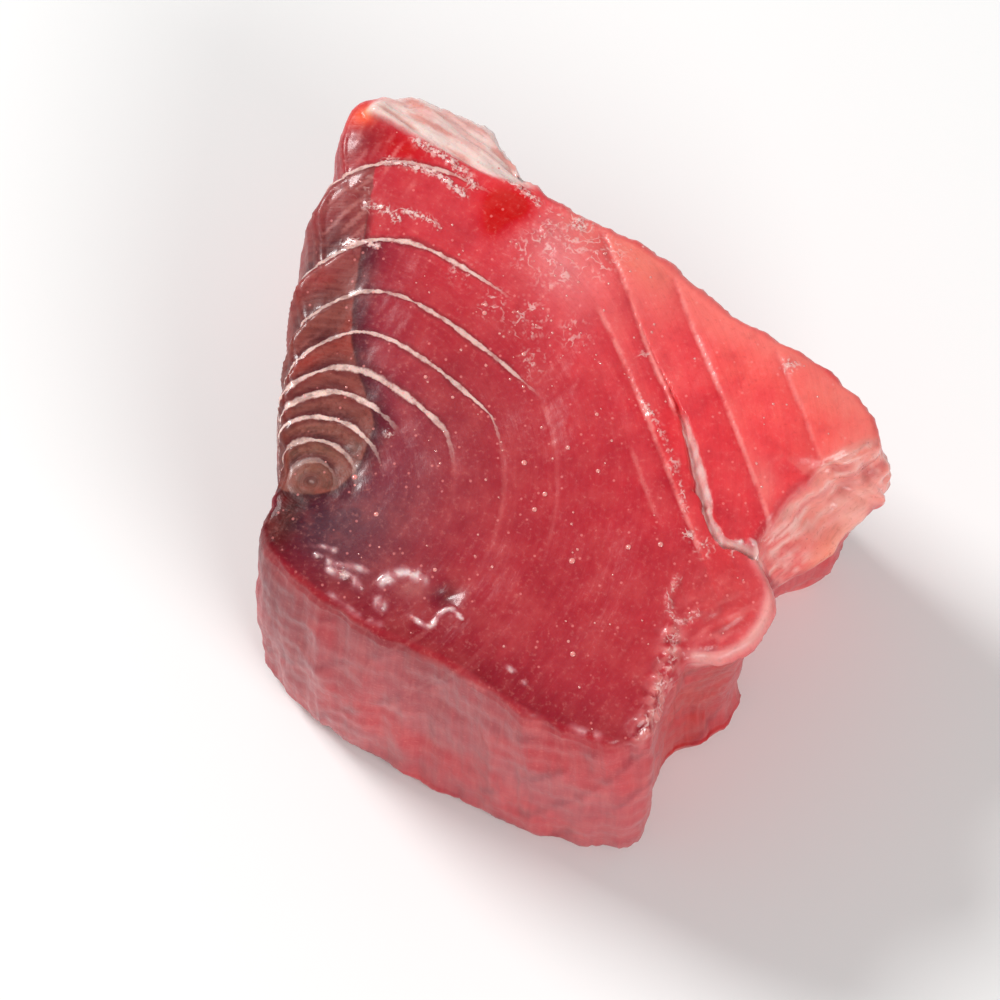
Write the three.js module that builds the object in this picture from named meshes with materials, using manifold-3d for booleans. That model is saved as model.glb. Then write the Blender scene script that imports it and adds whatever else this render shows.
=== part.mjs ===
// A chunk of raw blackfin tuna loin, cut across the grain and lying on its lower cut face.
// Millimetres, +Z up. The origin is the middle of the flat base. X runs along the chunk's long side,
// from the corner with the dark muscle (-X) to the plain corner (+X). The skin side of the loin is -X.
import * as THREE from "three";
import Module from "manifold-3d";

const wasm = await Module();
wasm.setup();

// The upper cut face: its mean height, and its slope, which rises towards the back left.
const FACE_HEIGHT = 30.5;
const FACE_SLOPE = Math.tan(THREE.MathUtils.degToRad(6));
const UPHILL = new THREE.Vector2(-0.545, 0.839);
const FACE_CROWN = 1.1; // the middle of the face stands this much over its rim
const FACE_WAVE = 0.35;
const WAVE_LENGTH = 23;

// Rounding of the long edges: crisp above, where the knife came through, and slumped below.
const TOP_ROUND = 1.5;
const BASE_ROUND = 2.2;

// The middle of the chunk's plan, which every ring of the cut faces closes on.
const HEART = new THREE.Vector2(-2.5, -4);

// Corners of the upper face, anticlockwise from the front left, each with how far the side stands
// out from the face's edge halfway down and at the base, and how far a torn ledge adds to it.
const CORNERS = [
  { at: [-17.6, -25.4], middle: 0.8, base: 0.5, ledge: 0 },
  { at: [-7.5, -27.5], middle: 1.4, base: 0.7, ledge: 0 },
  { at: [3.0, -26.5], middle: 0.7, base: 1.5, ledge: 0 },
  { at: [13.5, -26.2], middle: 1.2, base: 0.6, ledge: 0 },
  { at: [23.2, -22.6], middle: 0.3, base: -0.9, ledge: 0 },
  { at: [22.0, -17.6], middle: -0.6, base: -1.4, ledge: 0 },
  { at: [22.6, -13.6], middle: -2.0, base: -2.2, ledge: 0 },
  { at: [26.0, -10.0], middle: -3.2, base: -3.4, ledge: 0 },
  { at: [26.2, -4.6], middle: -3.2, base: -3.6, ledge: 0 },
  { at: [21.6, -0.6], middle: -1.4, base: -2.2, ledge: 2.9 },
  { at: [21.4, 4.0], middle: -1.0, base: -2.4, ledge: 5.8 },
  { at: [22.4, 8.8], middle: -1.0, base: -2.6, ledge: 5.9 },
  { at: [25.4, 12.6], middle: -1.2, base: -3.4, ledge: 2.8 },
  { at: [24.9, 15.9], middle: -1.0, base: -3.0, ledge: 0.9 },
  { at: [18.4, 18.1], middle: 0, base: -1.2, ledge: 0 },
  { at: [7.0, 18.0], middle: 1.0, base: 0.4, ledge: 0 },
  { at: [-4.0, 19.3], middle: 0.8, base: 1.2, ledge: 0 },
  { at: [-14.0, 18.5], middle: 0.8, base: 0.6, ledge: 0 },
  { at: [-23.4, 21.4], middle: 0.6, base: 0.1, ledge: 0 },
  { at: [-30.3, 19.4], middle: 0.3, base: -0.8, ledge: 0 },
  { at: [-33.0, 15.6], middle: -0.7, base: -1.9, ledge: 0 },
  { at: [-30.7, 6.5], middle: -0.1, base: -1.4, ledge: 0 },
  { at: [-27.7, -2.9], middle: 0.1, base: -1.1, ledge: 0 },
  { at: [-24.2, -12.0], middle: 0.1, base: -0.4, ledge: 0 },
  { at: [-20.0, -18.6], middle: 0.4, base: 0.3, ledge: 0 },
];
const LEDGE_SHARE = 0.74; // of the way up the side
const LEDGE_ABOVE = 0.14; // how far the ledge reaches up from there, and down
const LEDGE_BELOW = 0.12;

// The crack where one layer has come away from the next, from the middle of the face to the notch
// over the ledge. It is widest at the notch.
const CRACK_ROUTE = [
  [-1.5, 13.2], [3.6, 9.8], [8.7, 6.3], [14.2, 1.3], [18.2, -1.9], [21.4, -1.3], [25, 0.4],
];
const CRACK_DEPTH = 2.8;
const CRACK_WIDTH = 1.3;
const CRACK_THIN_END = 0.2; // share of the full width and depth where the crack starts
const CRACK_FULL_AT = 0.75; // share of the route where it is fully open
const CRACK_STEPS = 22;
const CRACK_CLEAR = 4; // how far the cut reaches over the face

// The muscle layers are nested cones with their tip towards APEX. On the upper face the membranes
// between them are arcs about APEX, and each narrows by LEAN for each millimetre down. A membrane has
// its radius towards the back and towards the right flank, where it runs straight if it is a wide one,
// and what it loses on the skin side for each ten degrees past SKIN_ANGLE.
const APEX = new THREE.Vector2(-17.1, -18.3);
const LEAN = 0.45;
const MEMBRANES = [
  { back: 2.3, flank: 2.3, fall: 0 },
  { back: 4.3, flank: 4.3, fall: 0 },
  { back: 6.7, flank: 6.8, fall: 0.012 },
  { back: 9.4, flank: 9.8, fall: 0.05 },
  { back: 12, flank: 13.6, fall: 0.065 },
  { back: 15.8, flank: 18.3, fall: 0.105 },
  { back: 20.1, flank: 23.3, fall: 0.11 },
  { back: 25.7, flank: 29.4, fall: 0.105 },
  { back: 32.5, flank: 31.9, fall: 0.08 },
  { back: 43, flank: 34.6, fall: 0.08 },
  { back: 49, flank: 39.4, fall: 0.08 },
  { back: 57, flank: 46, fall: 0.08 },
  { back: 65, flank: 53, fall: 0.08 },
  { back: 73, flank: 60, fall: 0.08 },
];
const FRONT_ANGLE = -90; // degrees anticlockwise from +X, as are the rest
const FLANK_ANGLE = 53.6;
const BACK_ANGLE = 90;
const SKIN_ANGLE = 108;
const STRAIGHT_RADII = [22, 30]; // a membrane of the first flank radius is round, one of the second straight
const STRAIGHT_ANGLES = [-70, -10]; // where a straight one is round again, and where it is straight
const STRAIGHT_REACH = 40;
const SMALLEST_SHARE = 0.45; // of its back radius, which is left of a membrane on the skin side
const ROUND_AGAIN_ANGLES = [160, 260];

// On the skin side each layer bulges past the next like a scale, most near its outer membrane.
const SCALE_BULGE = 0.2; // share of the layer's thickness
const SCALE_SKEW = 2.2; // 1 is an even bulge
const SCALE_FILL = 0.6; // 1 is a plain sine, and less is fuller
const SCALE_SIDE_START = 19; // number of the corner where the scaled side starts
const SCALE_SIDE_END = 24;

// The torn corner at the back left, where the face falls away under a pale membrane.
const TORN_DROP = 1.3;
const TORN_FROM_Y = 16.2;
const TORN_TO_Y = 20.8;
const TORN_END_X = [-19, -13];

// Spacing of the mesh: along the scaled side, along the other sides, and on the round edges.
const FINE_STEP = 0.85;
const COARSE_STEP = 1.6;
const ROUND_STEPS = 3;
const SIDE_SHARES = [0.16, 0.27, 0.38, 0.49, 0.57, 0.63, 0.68, 0.73, 0.78, 0.84, 0.9];
const STATION_PROBE = 0.02; // of a corner's number, for the rim's direction
const FACE_RINGS = [0.9, 0.78, 0.65, 0.52, 0.38, 0.24, 0.11];

function smoothstep(from, to, value) {
  return THREE.MathUtils.smoothstep(value, from, to);
}

// The radius of a membrane on the upper face, in the direction of an angle.
function membraneRadius({ back, flank, fall }, angle) {
  if (angle < FLANK_ANGLE) {
    const straight = smoothstep(...STRAIGHT_RADII, flank) * smoothstep(...STRAIGHT_ANGLES, angle);
    const turn = straight * Math.min(FLANK_ANGLE - angle, STRAIGHT_REACH);
    return flank / Math.cos(THREE.MathUtils.degToRad(turn));
  }
  if (angle < BACK_ANGLE) {
    const share = (BACK_ANGLE - angle) / (BACK_ANGLE - FLANK_ANGLE);
    const bend = flank > back ? share ** 2 : 1 - (1 - share) ** 2;
    return THREE.MathUtils.lerp(back, flank, bend);
  }
  const past = Math.log(1 + Math.exp((3 * (angle - SKIN_ANGLE)) / 10)) / 3;
  const skin = back * Math.max(SMALLEST_SHARE, 1 - fall * past);
  return THREE.MathUtils.lerp(skin, flank, smoothstep(...ROUND_AGAIN_ANGLES, angle));
}

// How far a layer bulges out of the skin side at a point, which is depth below the upper face.
function scaleBulge(x, y, depth) {
  const fromApex = new THREE.Vector2(x, y).sub(APEX);
  const degrees = THREE.MathUtils.radToDeg(fromApex.angle());
  const angle = THREE.MathUtils.euclideanModulo(degrees - FRONT_ANGLE, 360) + FRONT_ANGLE;
  const radius = fromApex.length() + LEAN * depth;
  const radii = [0, ...MEMBRANES.map((membrane) => membraneRadius(membrane, angle))];
  const outer = radii.findIndex((ring) => ring > radius);
  if (outer < 0) return 0;
  const thickness = radii[outer] - radii[outer - 1];
  const share = (radius - radii[outer - 1]) / thickness;
  return SCALE_BULGE * thickness * Math.sin(Math.PI * share ** SCALE_SKEW) ** SCALE_FILL;
}

// The height of the upper face at a point of the plan, without its crown.
function faceHeight(x, y) {
  const uphill = x * UPHILL.x + y * UPHILL.y;
  const wave = Math.sin((2 * Math.PI * x) / WAVE_LENGTH) * Math.cos((2 * Math.PI * y) / WAVE_LENGTH);
  const torn = smoothstep(TORN_FROM_Y, TORN_TO_Y, y) * (1 - smoothstep(...TORN_END_X, x));
  return FACE_HEIGHT + FACE_SLOPE * uphill + FACE_WAVE * wave - TORN_DROP * torn;
}

// A closed smooth curve through one value of each corner, read by corner number.
function aroundCorners(valuesOf) {
  const points = CORNERS.map((corner) => new THREE.Vector3(...valuesOf(corner)));
  const curve = new THREE.CatmullRomCurve3(points, true, "centripetal");
  return (number) => curve.getPoint((number / CORNERS.length) % 1);
}
const rimAt = aroundCorners((corner) => [corner.at[0], corner.at[1], 0]);
const standOutAt = aroundCorners((corner) => [corner.middle, corner.base, corner.ledge]);

// Places around the rim, each with its outward direction, close together on the scaled side.
function rimStations() {
  const stations = [];
  let number = 0;
  while (number < CORNERS.length) {
    const place = rimAt(number);
    const tangent = rimAt(number + STATION_PROBE).sub(place);
    const at = new THREE.Vector2(place.x, place.y);
    const scaled = smoothstep(SCALE_SIDE_START, SCALE_SIDE_START + 1, number)
      * (1 - smoothstep(SCALE_SIDE_END, SCALE_SIDE_END + 1, number));
    stations.push({
      at,
      out: new THREE.Vector2(tangent.y, -tangent.x).normalize(),
      away: at.clone().sub(HEART).normalize(),
      standOut: standOutAt(number),
      scaled,
    });
    number += ((scaled > 0 ? FINE_STEP : COARSE_STEP) * STATION_PROBE) / tangent.length();
  }
  return stations;
}

// How far the side stands out from the face's edge, at a share of the way up from the base.
function sideProfile(standOut, share) {
  const reach = share > LEDGE_SHARE ? LEDGE_ABOVE : LEDGE_BELOW;
  const ledge = Math.exp(-(((share - LEDGE_SHARE) / reach) ** 2));
  return standOut.x * 4 * share * (1 - share)
    + standOut.y * (1 - share) * (1 - 2 * share)
    + standOut.z * ledge;
}

// One ring of the side, pulled in towards the heart by inset and raised by lift.
function sideRing(stations, share, inset, lift, bulging = 1) {
  return stations.map(({ at, out, away, standOut, scaled }) => {
    const rise = faceHeight(at.x, at.y);
    const bulge = scaled > 0 ? bulging * scaled * scaleBulge(at.x, at.y, (1 - share) * rise) : 0;
    const plan = at.clone()
      .addScaledVector(away, sideProfile(standOut, share) - inset)
      .addScaledVector(out, bulge);
    return new THREE.Vector3(plan.x, plan.y, share * rise + lift);
  });
}

// The rings of the whole surface, from the base's edge up the sides and in over the face.
function rings() {
  const stations = rimStations();
  const made = [];
  for (let i = 0; i <= ROUND_STEPS; i++) {
    const angle = (Math.PI / 2) * (i / ROUND_STEPS);
    const inset = BASE_ROUND * (1 - Math.sin(angle));
    made.push(sideRing(stations, 0, inset, BASE_ROUND * (1 - Math.cos(angle))));
  }
  for (const share of SIDE_SHARES) {
    made.push(sideRing(stations, share, 0, 0));
  }
  for (let i = 0; i <= ROUND_STEPS; i++) {
    const angle = (Math.PI / 2) * (i / ROUND_STEPS);
    const inset = TOP_ROUND * (1 - Math.cos(angle));
    made.push(sideRing(stations, 1, inset, TOP_ROUND * (Math.sin(angle) - 1)));
  }
  const plainRim = sideRing(stations, 1, TOP_ROUND, 0, 0);
  for (const share of FACE_RINGS) {
    made.push(plainRim.map((point) => {
      const x = HEART.x + (point.x - HEART.x) * share;
      const y = HEART.y + (point.y - HEART.y) * share;
      return new THREE.Vector3(x, y, faceHeight(x, y) + FACE_CROWN * (1 - share ** 4));
    }));
  }
  return made;
}

// A closed geometry through the rings, with a fan at each end.
function skinned(ringList) {
  const count = ringList[0].length;
  const last = ringList.length - 1;
  const points = ringList.flat();
  const baseHeart = points.push(new THREE.Vector3(HEART.x, HEART.y, 0)) - 1;
  const crown = faceHeight(HEART.x, HEART.y) + FACE_CROWN;
  const faceHeart = points.push(new THREE.Vector3(HEART.x, HEART.y, crown)) - 1;
  const index = [];
  for (let i = 0; i < count; i++) {
    const next = (i + 1) % count;
    index.push(baseHeart, next, i, faceHeart, last * count + i, last * count + next);
    for (let ring = 0; ring < last; ring++) {
      const a = ring * count + i;
      const b = ring * count + next;
      index.push(a, b, b + count, a, b + count, a + count);
    }
  }
  return new THREE.BufferGeometry().setFromPoints(points).setIndex(index);
}

// The wedge that opens the crack: a narrow blade along the route, with its edge down in the flesh.
function crackBlade() {
  const route = new THREE.CatmullRomCurve3(CRACK_ROUTE.map(([x, y]) => new THREE.Vector3(x, y, 0)));
  const points = [];
  const index = [];
  for (let i = 0; i <= CRACK_STEPS; i++) {
    const share = i / CRACK_STEPS;
    const place = route.getPointAt(share);
    const along = route.getTangentAt(share);
    const across = new THREE.Vector3(-along.y, along.x, 0);
    const opening = CRACK_THIN_END + (1 - CRACK_THIN_END) * smoothstep(0, CRACK_FULL_AT, share);
    const depth = CRACK_DEPTH * opening;
    const halfWidth = (CRACK_WIDTH * opening * (depth + CRACK_CLEAR)) / (2 * depth);
    const face = faceHeight(place.x, place.y) + FACE_CROWN;
    place.z = face + CRACK_CLEAR;
    points.push(
      place.clone().addScaledVector(across, halfWidth),
      place.clone().addScaledVector(across, -halfWidth),
      new THREE.Vector3(place.x, place.y, face - depth),
    );
    if (i === CRACK_STEPS) break;
    const a = 3 * i;
    for (const [side, next] of [[0, 1], [1, 2], [2, 0]]) {
      index.push(a + side, a + next, a + 3 + next, a + side, a + 3 + next, a + 3 + side);
    }
  }
  const end = 3 * CRACK_STEPS;
  index.push(0, 2, 1, end, end + 1, end + 2);
  return new THREE.BufferGeometry().setFromPoints(points).setIndex(index);
}

// A closed geometry as a solid that can be cut, and a cut solid as a geometry again.
function solidFrom(geometry) {
  return new wasm.Manifold(new wasm.Mesh({
    numProp: 3,
    vertProperties: geometry.attributes.position.array,
    triVerts: new Uint32Array(geometry.index.array),
  }));
}

function geometryFrom(solid) {
  const { vertProperties, triVerts } = solid.getMesh();
  const geometry = new THREE.BufferGeometry();
  geometry.setAttribute("position", new THREE.BufferAttribute(vertProperties, 3));
  return geometry.setIndex(new THREE.BufferAttribute(triVerts, 1));
}

const flesh = new THREE.MeshStandardMaterial({ color: 0xc23a44, roughness: 0.3, metalness: 0 });

// The whole chunk, moved so that its base is centred under its bounding box.
const geometry = geometryFrom(solidFrom(skinned(rings())).subtract(solidFrom(crackBlade())));
geometry.computeBoundingBox();
const middle = geometry.boundingBox.getCenter(new THREE.Vector3());
geometry.translate(-middle.x, -middle.y, -geometry.boundingBox.min.z);
geometry.computeVertexNormals();
const tuna = new THREE.Mesh(geometry, flesh);
tuna.name = "tuna_chunk";

const part = new THREE.Group();
part.add(tuna);

export default part;
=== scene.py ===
"""A hand-cut chunk of raw tuna loin: its fine surface, its finish, the light and the camera.

The chunk is drawn in millimetres, in the plan in which its solid was drawn, with z up from the base.
MIDDLE is the place in that plan that the row frame has as its origin, and Blender has metres.
"""
import math
from types import SimpleNamespace

import bpy
import numpy as np
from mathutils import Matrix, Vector
from mathutils.bvhtree import BVHTree
from mathutils.geometry import delaunay_2d_cdt


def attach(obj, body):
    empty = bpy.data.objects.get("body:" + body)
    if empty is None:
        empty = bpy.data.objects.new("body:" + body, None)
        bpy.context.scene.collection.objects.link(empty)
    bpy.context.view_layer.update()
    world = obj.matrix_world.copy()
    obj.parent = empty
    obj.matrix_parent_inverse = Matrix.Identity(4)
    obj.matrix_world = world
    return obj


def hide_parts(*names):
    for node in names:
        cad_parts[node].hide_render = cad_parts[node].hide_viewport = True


MM = 0.001
MIDDLE = (-3.6800, -3.5329, 0.0)

# The upper cut face, as in the solid.
FACE_HEIGHT = 30.5
FACE_SLOPE = math.tan(math.radians(6))
UPHILL = np.array([-0.545, 0.839])
FACE_CROWN = 1.1
FACE_WAVE = 0.35
WAVE_LENGTH = 23
TORN_DROP = 1.3
TORN_ACROSS = (16.2, 20.8)  # the y over which it falls, and the x over which it sets in
TORN_ALONG = (-13, -19)
TOP_ROUND = 1.0  # crisper than the solid's
BASE_ROUND = 2.2
HEART = np.array([-2.5, -4.0])

# Corners of the upper face: x, y, and how far the side stands out halfway down, at the base, and
# as a torn ledge.
CORNERS = np.array([
    [-17.6, -25.4, 0.8, 0.5, 0.0],
    [-7.5, -27.5, 1.4, 0.7, 0.0],
    [3.0, -26.5, 0.7, 1.5, 0.0],
    [13.5, -26.2, 1.2, 0.6, 0.0],
    [23.2, -22.6, 0.3, -0.9, 0.0],
    [22.0, -17.6, -0.6, -1.4, 0.0],
    [22.6, -13.6, -2.0, -2.2, 0.0],
    [26.0, -10.0, -3.2, -3.4, 0.0],
    [26.2, -4.6, -3.2, -3.6, 0.0],
    [21.6, -0.6, -1.4, -2.2, 2.9],
    [21.4, 4.0, -1.0, -2.4, 5.8],
    [22.4, 8.8, -1.0, -2.6, 5.9],
    [25.4, 12.6, -1.2, -3.4, 2.8],
    [24.9, 15.9, -1.0, -3.0, 0.9],
    [18.4, 18.1, 0.0, -1.2, 0.0],
    [7.0, 18.0, 1.0, 0.4, 0.0],
    [-4.0, 19.3, 0.8, 1.2, 0.0],
    [-14.0, 18.5, 0.8, 0.6, 0.0],
    [-23.4, 21.4, 0.6, 0.1, 0.0],
    [-30.3, 19.4, 0.3, -0.8, 0.0],
    [-33.0, 15.6, -0.7, -1.9, 0.0],
    [-30.7, 6.5, -0.1, -1.4, 0.0],
    [-27.7, -2.9, 0.1, -1.1, 0.0],
    [-24.2, -12.0, 0.1, -0.4, 0.0],
    [-20.0, -18.6, 0.4, 0.3, 0.0],
])
LEDGE_SHARE = 0.74
LEDGE_ABOVE = 0.14
LEDGE_BELOW = 0.12
SCALE_SIDE = (19, 24)  # numbers of the corners where the scaled side starts and ends
SCALE_BULGE = 0.2
SCALE_SKEW = 2.2
SCALE_FILLS = (0.9, 0.5)  # soft between thin layers, crisp between thick ones
SCALE_FILL_LAYERS = (2.6, 4.2)

# The membranes between the muscle layers: radius towards the back and the flank, loss on the skin
# side, how white each is on the face, and the x where the white ends.
APEX = np.array([-17.1, -18.3])
LEAN = 0.45
MEMBRANES = np.array([
    [2.3, 2.3, 0.0, 0.25, -15.6],
    [4.3, 4.3, 0.0, 0.8, -14.9],
    [6.7, 6.8, 0.012, 1.0, -14.2],
    [9.4, 9.8, 0.05, 1.0, -14.6],
    [12.0, 13.6, 0.065, 0.85, -8.6],
    [15.8, 18.3, 0.105, 0.85, -5.6],
    [20.1, 23.3, 0.11, 0.8, -5.4],
    [25.7, 29.4, 0.105, 0.9, -13.2],
    [33.6, 31.9, 0.08, 0.8, -20.6],
    [43.0, 34.6, 0.08, 0.0, -60.0],
    [49.0, 39.4, 0.08, 0.0, -60.0],
    [57.0, 46.0, 0.08, 0.0, -60.0],
    [65.0, 53.0, 0.08, 0.0, -60.0],
    [73.0, 60.0, 0.08, 0.0, -60.0],
])
FRONT_ANGLE = -90
FLANK_ANGLE = 53.6
BACK_ANGLE = 90
SKIN_ANGLE = 108
STRAIGHT_RADII = (22, 30)
STRAIGHT_ANGLES = (-70, -10)
STRAIGHT_REACH = 40
SMALLEST_SHARE = 0.45
ROUND_AGAIN_ANGLES = (160, 260)

# Thin seams on the plain side: number of the membrane, x from, x to, strength.
SEAMS = [
    (4, -9.0, -4.0, 0.16), (5, -6.0, 1.0, 0.2), (6, -6.0, 5.5, 0.22), (7, 7.0, 12.6, 0.5),
    (8, -3.5, 17.8, 0.9), (9, -8.0, 8.0, 1.0), (10, 1.0, 22.0, 0.9), (11, 13.0, 23.0, 0.55),
]

CRACK_ROUTE = [(-1.5, 13.2), (3.6, 9.8), (8.7, 6.3), (14.2, 1.3), (18.2, -1.9), (21.4, -1.3), (25.0, 0.4)]

# Spacing of the fine mesh.
STATION_STEP = 0.4
ROW_STEP = 0.42
FACE_STEP = 0.245
BASE_STEP = 2.5
ROUND_ROWS = 6
RIM_SAMPLES = 6000
LOOK_AHEAD = 0.02  # in corners
GRID_MARGIN = 3
GRID_SHAKE = 0.12  # shares of the step
CRACK_POINTS = 190
CRACK_LAST = 184
CRACK_REACH = 0.85
CRACK_LANES = (-0.75, -0.6, -0.47, -0.35, -0.24, -0.12, 0.0, 0.12, 0.24, 0.36, 0.48, 0.6, 0.75)


def smoothstep(low, high, value):
    share = np.clip((value - low) / (high - low), 0, 1)
    return share * share * (3 - 2 * share)


def mix(first, second, share):
    return first + (second - first) * share


def bell(value, width):
    """1 at zero, fading out over a width to both sides."""
    return np.exp(-((value / width) ** 2))


def ripples(points, wavelength, seed, waves=22):
    """Smooth noise of about unit strength: waves of about one length in random directions."""
    draw = np.random.default_rng(seed)
    directions = draw.normal(size=(waves, points.shape[1]))
    directions /= np.linalg.norm(directions, axis=1)[:, None]
    lengths = wavelength * draw.uniform(0.7, 1.5, waves)
    phases = draw.uniform(0, 2 * np.pi, waves)
    total = np.zeros(len(points))
    for direction, length, phase in zip(directions, lengths, phases):
        total += np.sin(points @ direction * (2 * np.pi / length) + phase)
    return total / math.sqrt(waves / 2)


def mottled(points, wavelength, seed, low, high):
    """Smooth noise as a share that goes from 0 to 1 between two levels."""
    return smoothstep(low, high, ripples(points, wavelength, seed))


def catmull_rom(values, numbers):
    """A closed centripetal curve through the rows of values, read at row numbers."""
    first = np.floor(numbers).astype(int)
    weight = (numbers - first)[:, None]
    p0, p1, p2, p3 = (values[(first + step) % len(values)] for step in (-1, 0, 1, 2))
    d0, d1, d2 = (((b - a) ** 2).sum(1)[:, None] ** 0.25 for a, b in ((p0, p1), (p1, p2), (p2, p3)))
    t1 = ((p1 - p0) / d0 - (p2 - p0) / (d0 + d1) + (p2 - p1) / d1) * d1
    t2 = ((p2 - p1) / d1 - (p3 - p1) / (d1 + d2) + (p3 - p2) / d2) * d1
    square = 3 * (p2 - p1) - 2 * t1 - t2
    cube = 2 * (p1 - p2) + t1 + t2
    return p1 + t1 * weight + square * weight ** 2 + cube * weight ** 3


def smooth_path(places, count=160):
    """Evenly spaced points on a smooth line through a few places."""
    places = np.asarray(places, float)
    ends = np.vstack([2 * places[0] - places[1], places, 2 * places[-1] - places[-2]])
    numbers = np.linspace(1, len(places) - 1e-6, 40 * len(places))
    line = catmull_rom(ends, numbers)
    steps = np.r_[0, np.cumsum(np.linalg.norm(np.diff(line, axis=0), axis=1))]
    even = np.linspace(0, steps[-1], count)
    return np.stack([np.interp(even, steps, line[:, axis]) for axis in (0, 1)], 1)


def along_path(plan, places):
    """The distance of each place from a smooth path, positive on its left, and the share along it."""
    line = smooth_path(places)
    heading = np.gradient(line, axis=0)
    heading /= np.linalg.norm(heading, axis=1)[:, None]
    nearest = np.zeros(len(plan), int)
    closest = np.full(len(plan), np.inf)
    for number, place in enumerate(line):
        distance = ((plan - place) ** 2).sum(1)
        closer = distance < closest
        closest[closer] = distance[closer]
        nearest[closer] = number
    offset = plan - line[nearest]
    side = heading[nearest, 0] * offset[:, 1] - heading[nearest, 1] * offset[:, 0]
    return np.sqrt(closest) * np.where(side < 0, -1, 1), nearest / (len(line) - 1)


def near_path(plan, places, width):
    """1 on a path, fading out over a width to both sides."""
    return bell(along_path(plan, places)[0], width)


def turned(plan, degrees):
    """How far places lie along a direction and across it."""
    angle = math.radians(degrees)
    x, y = plan[:, 0], plan[:, 1]
    return x * math.cos(angle) + y * math.sin(angle), y * math.cos(angle) - x * math.sin(angle)


def spot(plan, x, y, radius, stretch=1.0, turn=0.0):
    """1 at a place, fading out over a radius. stretch widens it along the direction turn, in degrees."""
    along, across = turned(plan - (x, y), turn)
    return np.exp(-((along / (radius * stretch)) ** 2) - (across / radius) ** 2)


# The form that the solid has.


def face_height(plan):
    x, y = plan[:, 0], plan[:, 1]
    wave = np.sin(2 * np.pi * x / WAVE_LENGTH) * np.cos(2 * np.pi * y / WAVE_LENGTH)
    torn = smoothstep(*TORN_ACROSS, y) * smoothstep(*TORN_ALONG, x)
    return FACE_HEIGHT + FACE_SLOPE * (plan @ UPHILL) + FACE_WAVE * wave - TORN_DROP * torn


def membrane_radii(angle):
    """The radius of each membrane on the upper face in each direction, after a column of zeros."""
    back, flank, fall = (MEMBRANES[:, column][None] for column in (0, 1, 2))
    angle = angle[:, None]
    straight = smoothstep(*STRAIGHT_RADII, flank) * smoothstep(*STRAIGHT_ANGLES, angle)
    turn = straight * np.clip(FLANK_ANGLE - angle, 0, STRAIGHT_REACH)
    front_radius = flank / np.cos(np.radians(turn))
    share = np.clip((BACK_ANGLE - angle) / (BACK_ANGLE - FLANK_ANGLE), 0, 1)
    bend = np.where(flank > back, share ** 2, 1 - (1 - share) ** 2)
    back_radius = mix(back, flank, bend)
    past = np.log1p(np.exp(3 * (angle - SKIN_ANGLE) / 10)) / 3
    skin = back * np.maximum(SMALLEST_SHARE, 1 - fall * past)
    skin_radius = mix(skin, flank, smoothstep(*ROUND_AGAIN_ANGLES, angle))
    behind = np.where(angle < BACK_ANGLE, back_radius, skin_radius)
    radii = np.where(angle < FLANK_ANGLE, front_radius, behind)
    return np.hstack([np.zeros((len(radii), 1)), radii])


def layers(plan, depth):
    """Number of the muscle layer with the share through it, its thickness, and the angle and radius."""
    offset = plan - APEX
    degrees = np.degrees(np.arctan2(offset[:, 1], offset[:, 0]))
    angle = np.mod(degrees - FRONT_ANGLE, 360) + FRONT_ANGLE
    radius = np.linalg.norm(offset, axis=1) + LEAN * depth
    radii = membrane_radii(angle)
    rows = np.arange(len(plan))
    inner = np.clip((radii <= radius[:, None]).sum(1) - 1, 0, len(MEMBRANES) - 1)
    thickness = radii[rows, inner + 1] - radii[rows, inner]
    share = (radius - radii[rows, inner]) / thickness
    return inner + share, thickness, angle, radius


def scale_bulge(plan, depth):
    number, thickness, _, _ = layers(plan, depth)
    share = np.clip(number - np.floor(number), 0, 1)
    fill = mix(*SCALE_FILLS, smoothstep(*SCALE_FILL_LAYERS, thickness))
    return SCALE_BULGE * thickness * np.clip(np.sin(np.pi * share ** SCALE_SKEW), 0, 1) ** fill


def stations():
    """Evenly spaced places round the face's edge, with what the side does under each."""
    numbers = np.linspace(0, len(CORNERS), RIM_SAMPLES, endpoint=False)
    rim = catmull_rom(CORNERS[:, :2], numbers)
    steps = np.linalg.norm(np.roll(rim, -1, axis=0) - rim, axis=1)
    length = np.r_[0, np.cumsum(steps)]
    count = int(length[-1] / STATION_STEP)
    round_the_rim = np.arange(count) * length[-1] / count
    even = np.interp(round_the_rim, length, np.r_[numbers, len(CORNERS)])
    at = catmull_rom(CORNERS[:, :2], even)
    ahead = catmull_rom(CORNERS[:, :2], even + LOOK_AHEAD) - at
    out = np.stack([ahead[:, 1], -ahead[:, 0]], 1) / np.linalg.norm(ahead, axis=1)[:, None]
    away = (at - HEART) / np.linalg.norm(at - HEART, axis=1)[:, None]
    start, end = SCALE_SIDE
    return SimpleNamespace(
        at=at, out=out, away=away,
        scaled=smoothstep(start, start + 1, even) * smoothstep(end + 1, end, even),
        stand_out=catmull_rom(CORNERS[:, 2:], even),
        round_the_rim=round_the_rim,
    )


def side_row(rim, share, inset, lift):
    """One row of the side, pulled in by inset and raised by lift."""
    rise = face_height(rim.at)
    reach = LEDGE_ABOVE if share > LEDGE_SHARE else LEDGE_BELOW
    ledge = math.exp(-(((share - LEDGE_SHARE) / reach) ** 2))
    profile = np.array([4 * share * (1 - share), (1 - share) * (1 - 2 * share), ledge])
    stand_out = rim.stand_out @ profile - inset
    bulge = rim.scaled * scale_bulge(rim.at, (1 - share) * rise)
    plan = rim.at + rim.away * stand_out[:, None] + rim.out * bulge[:, None]
    return np.column_stack([plan, share * rise + lift])


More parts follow.
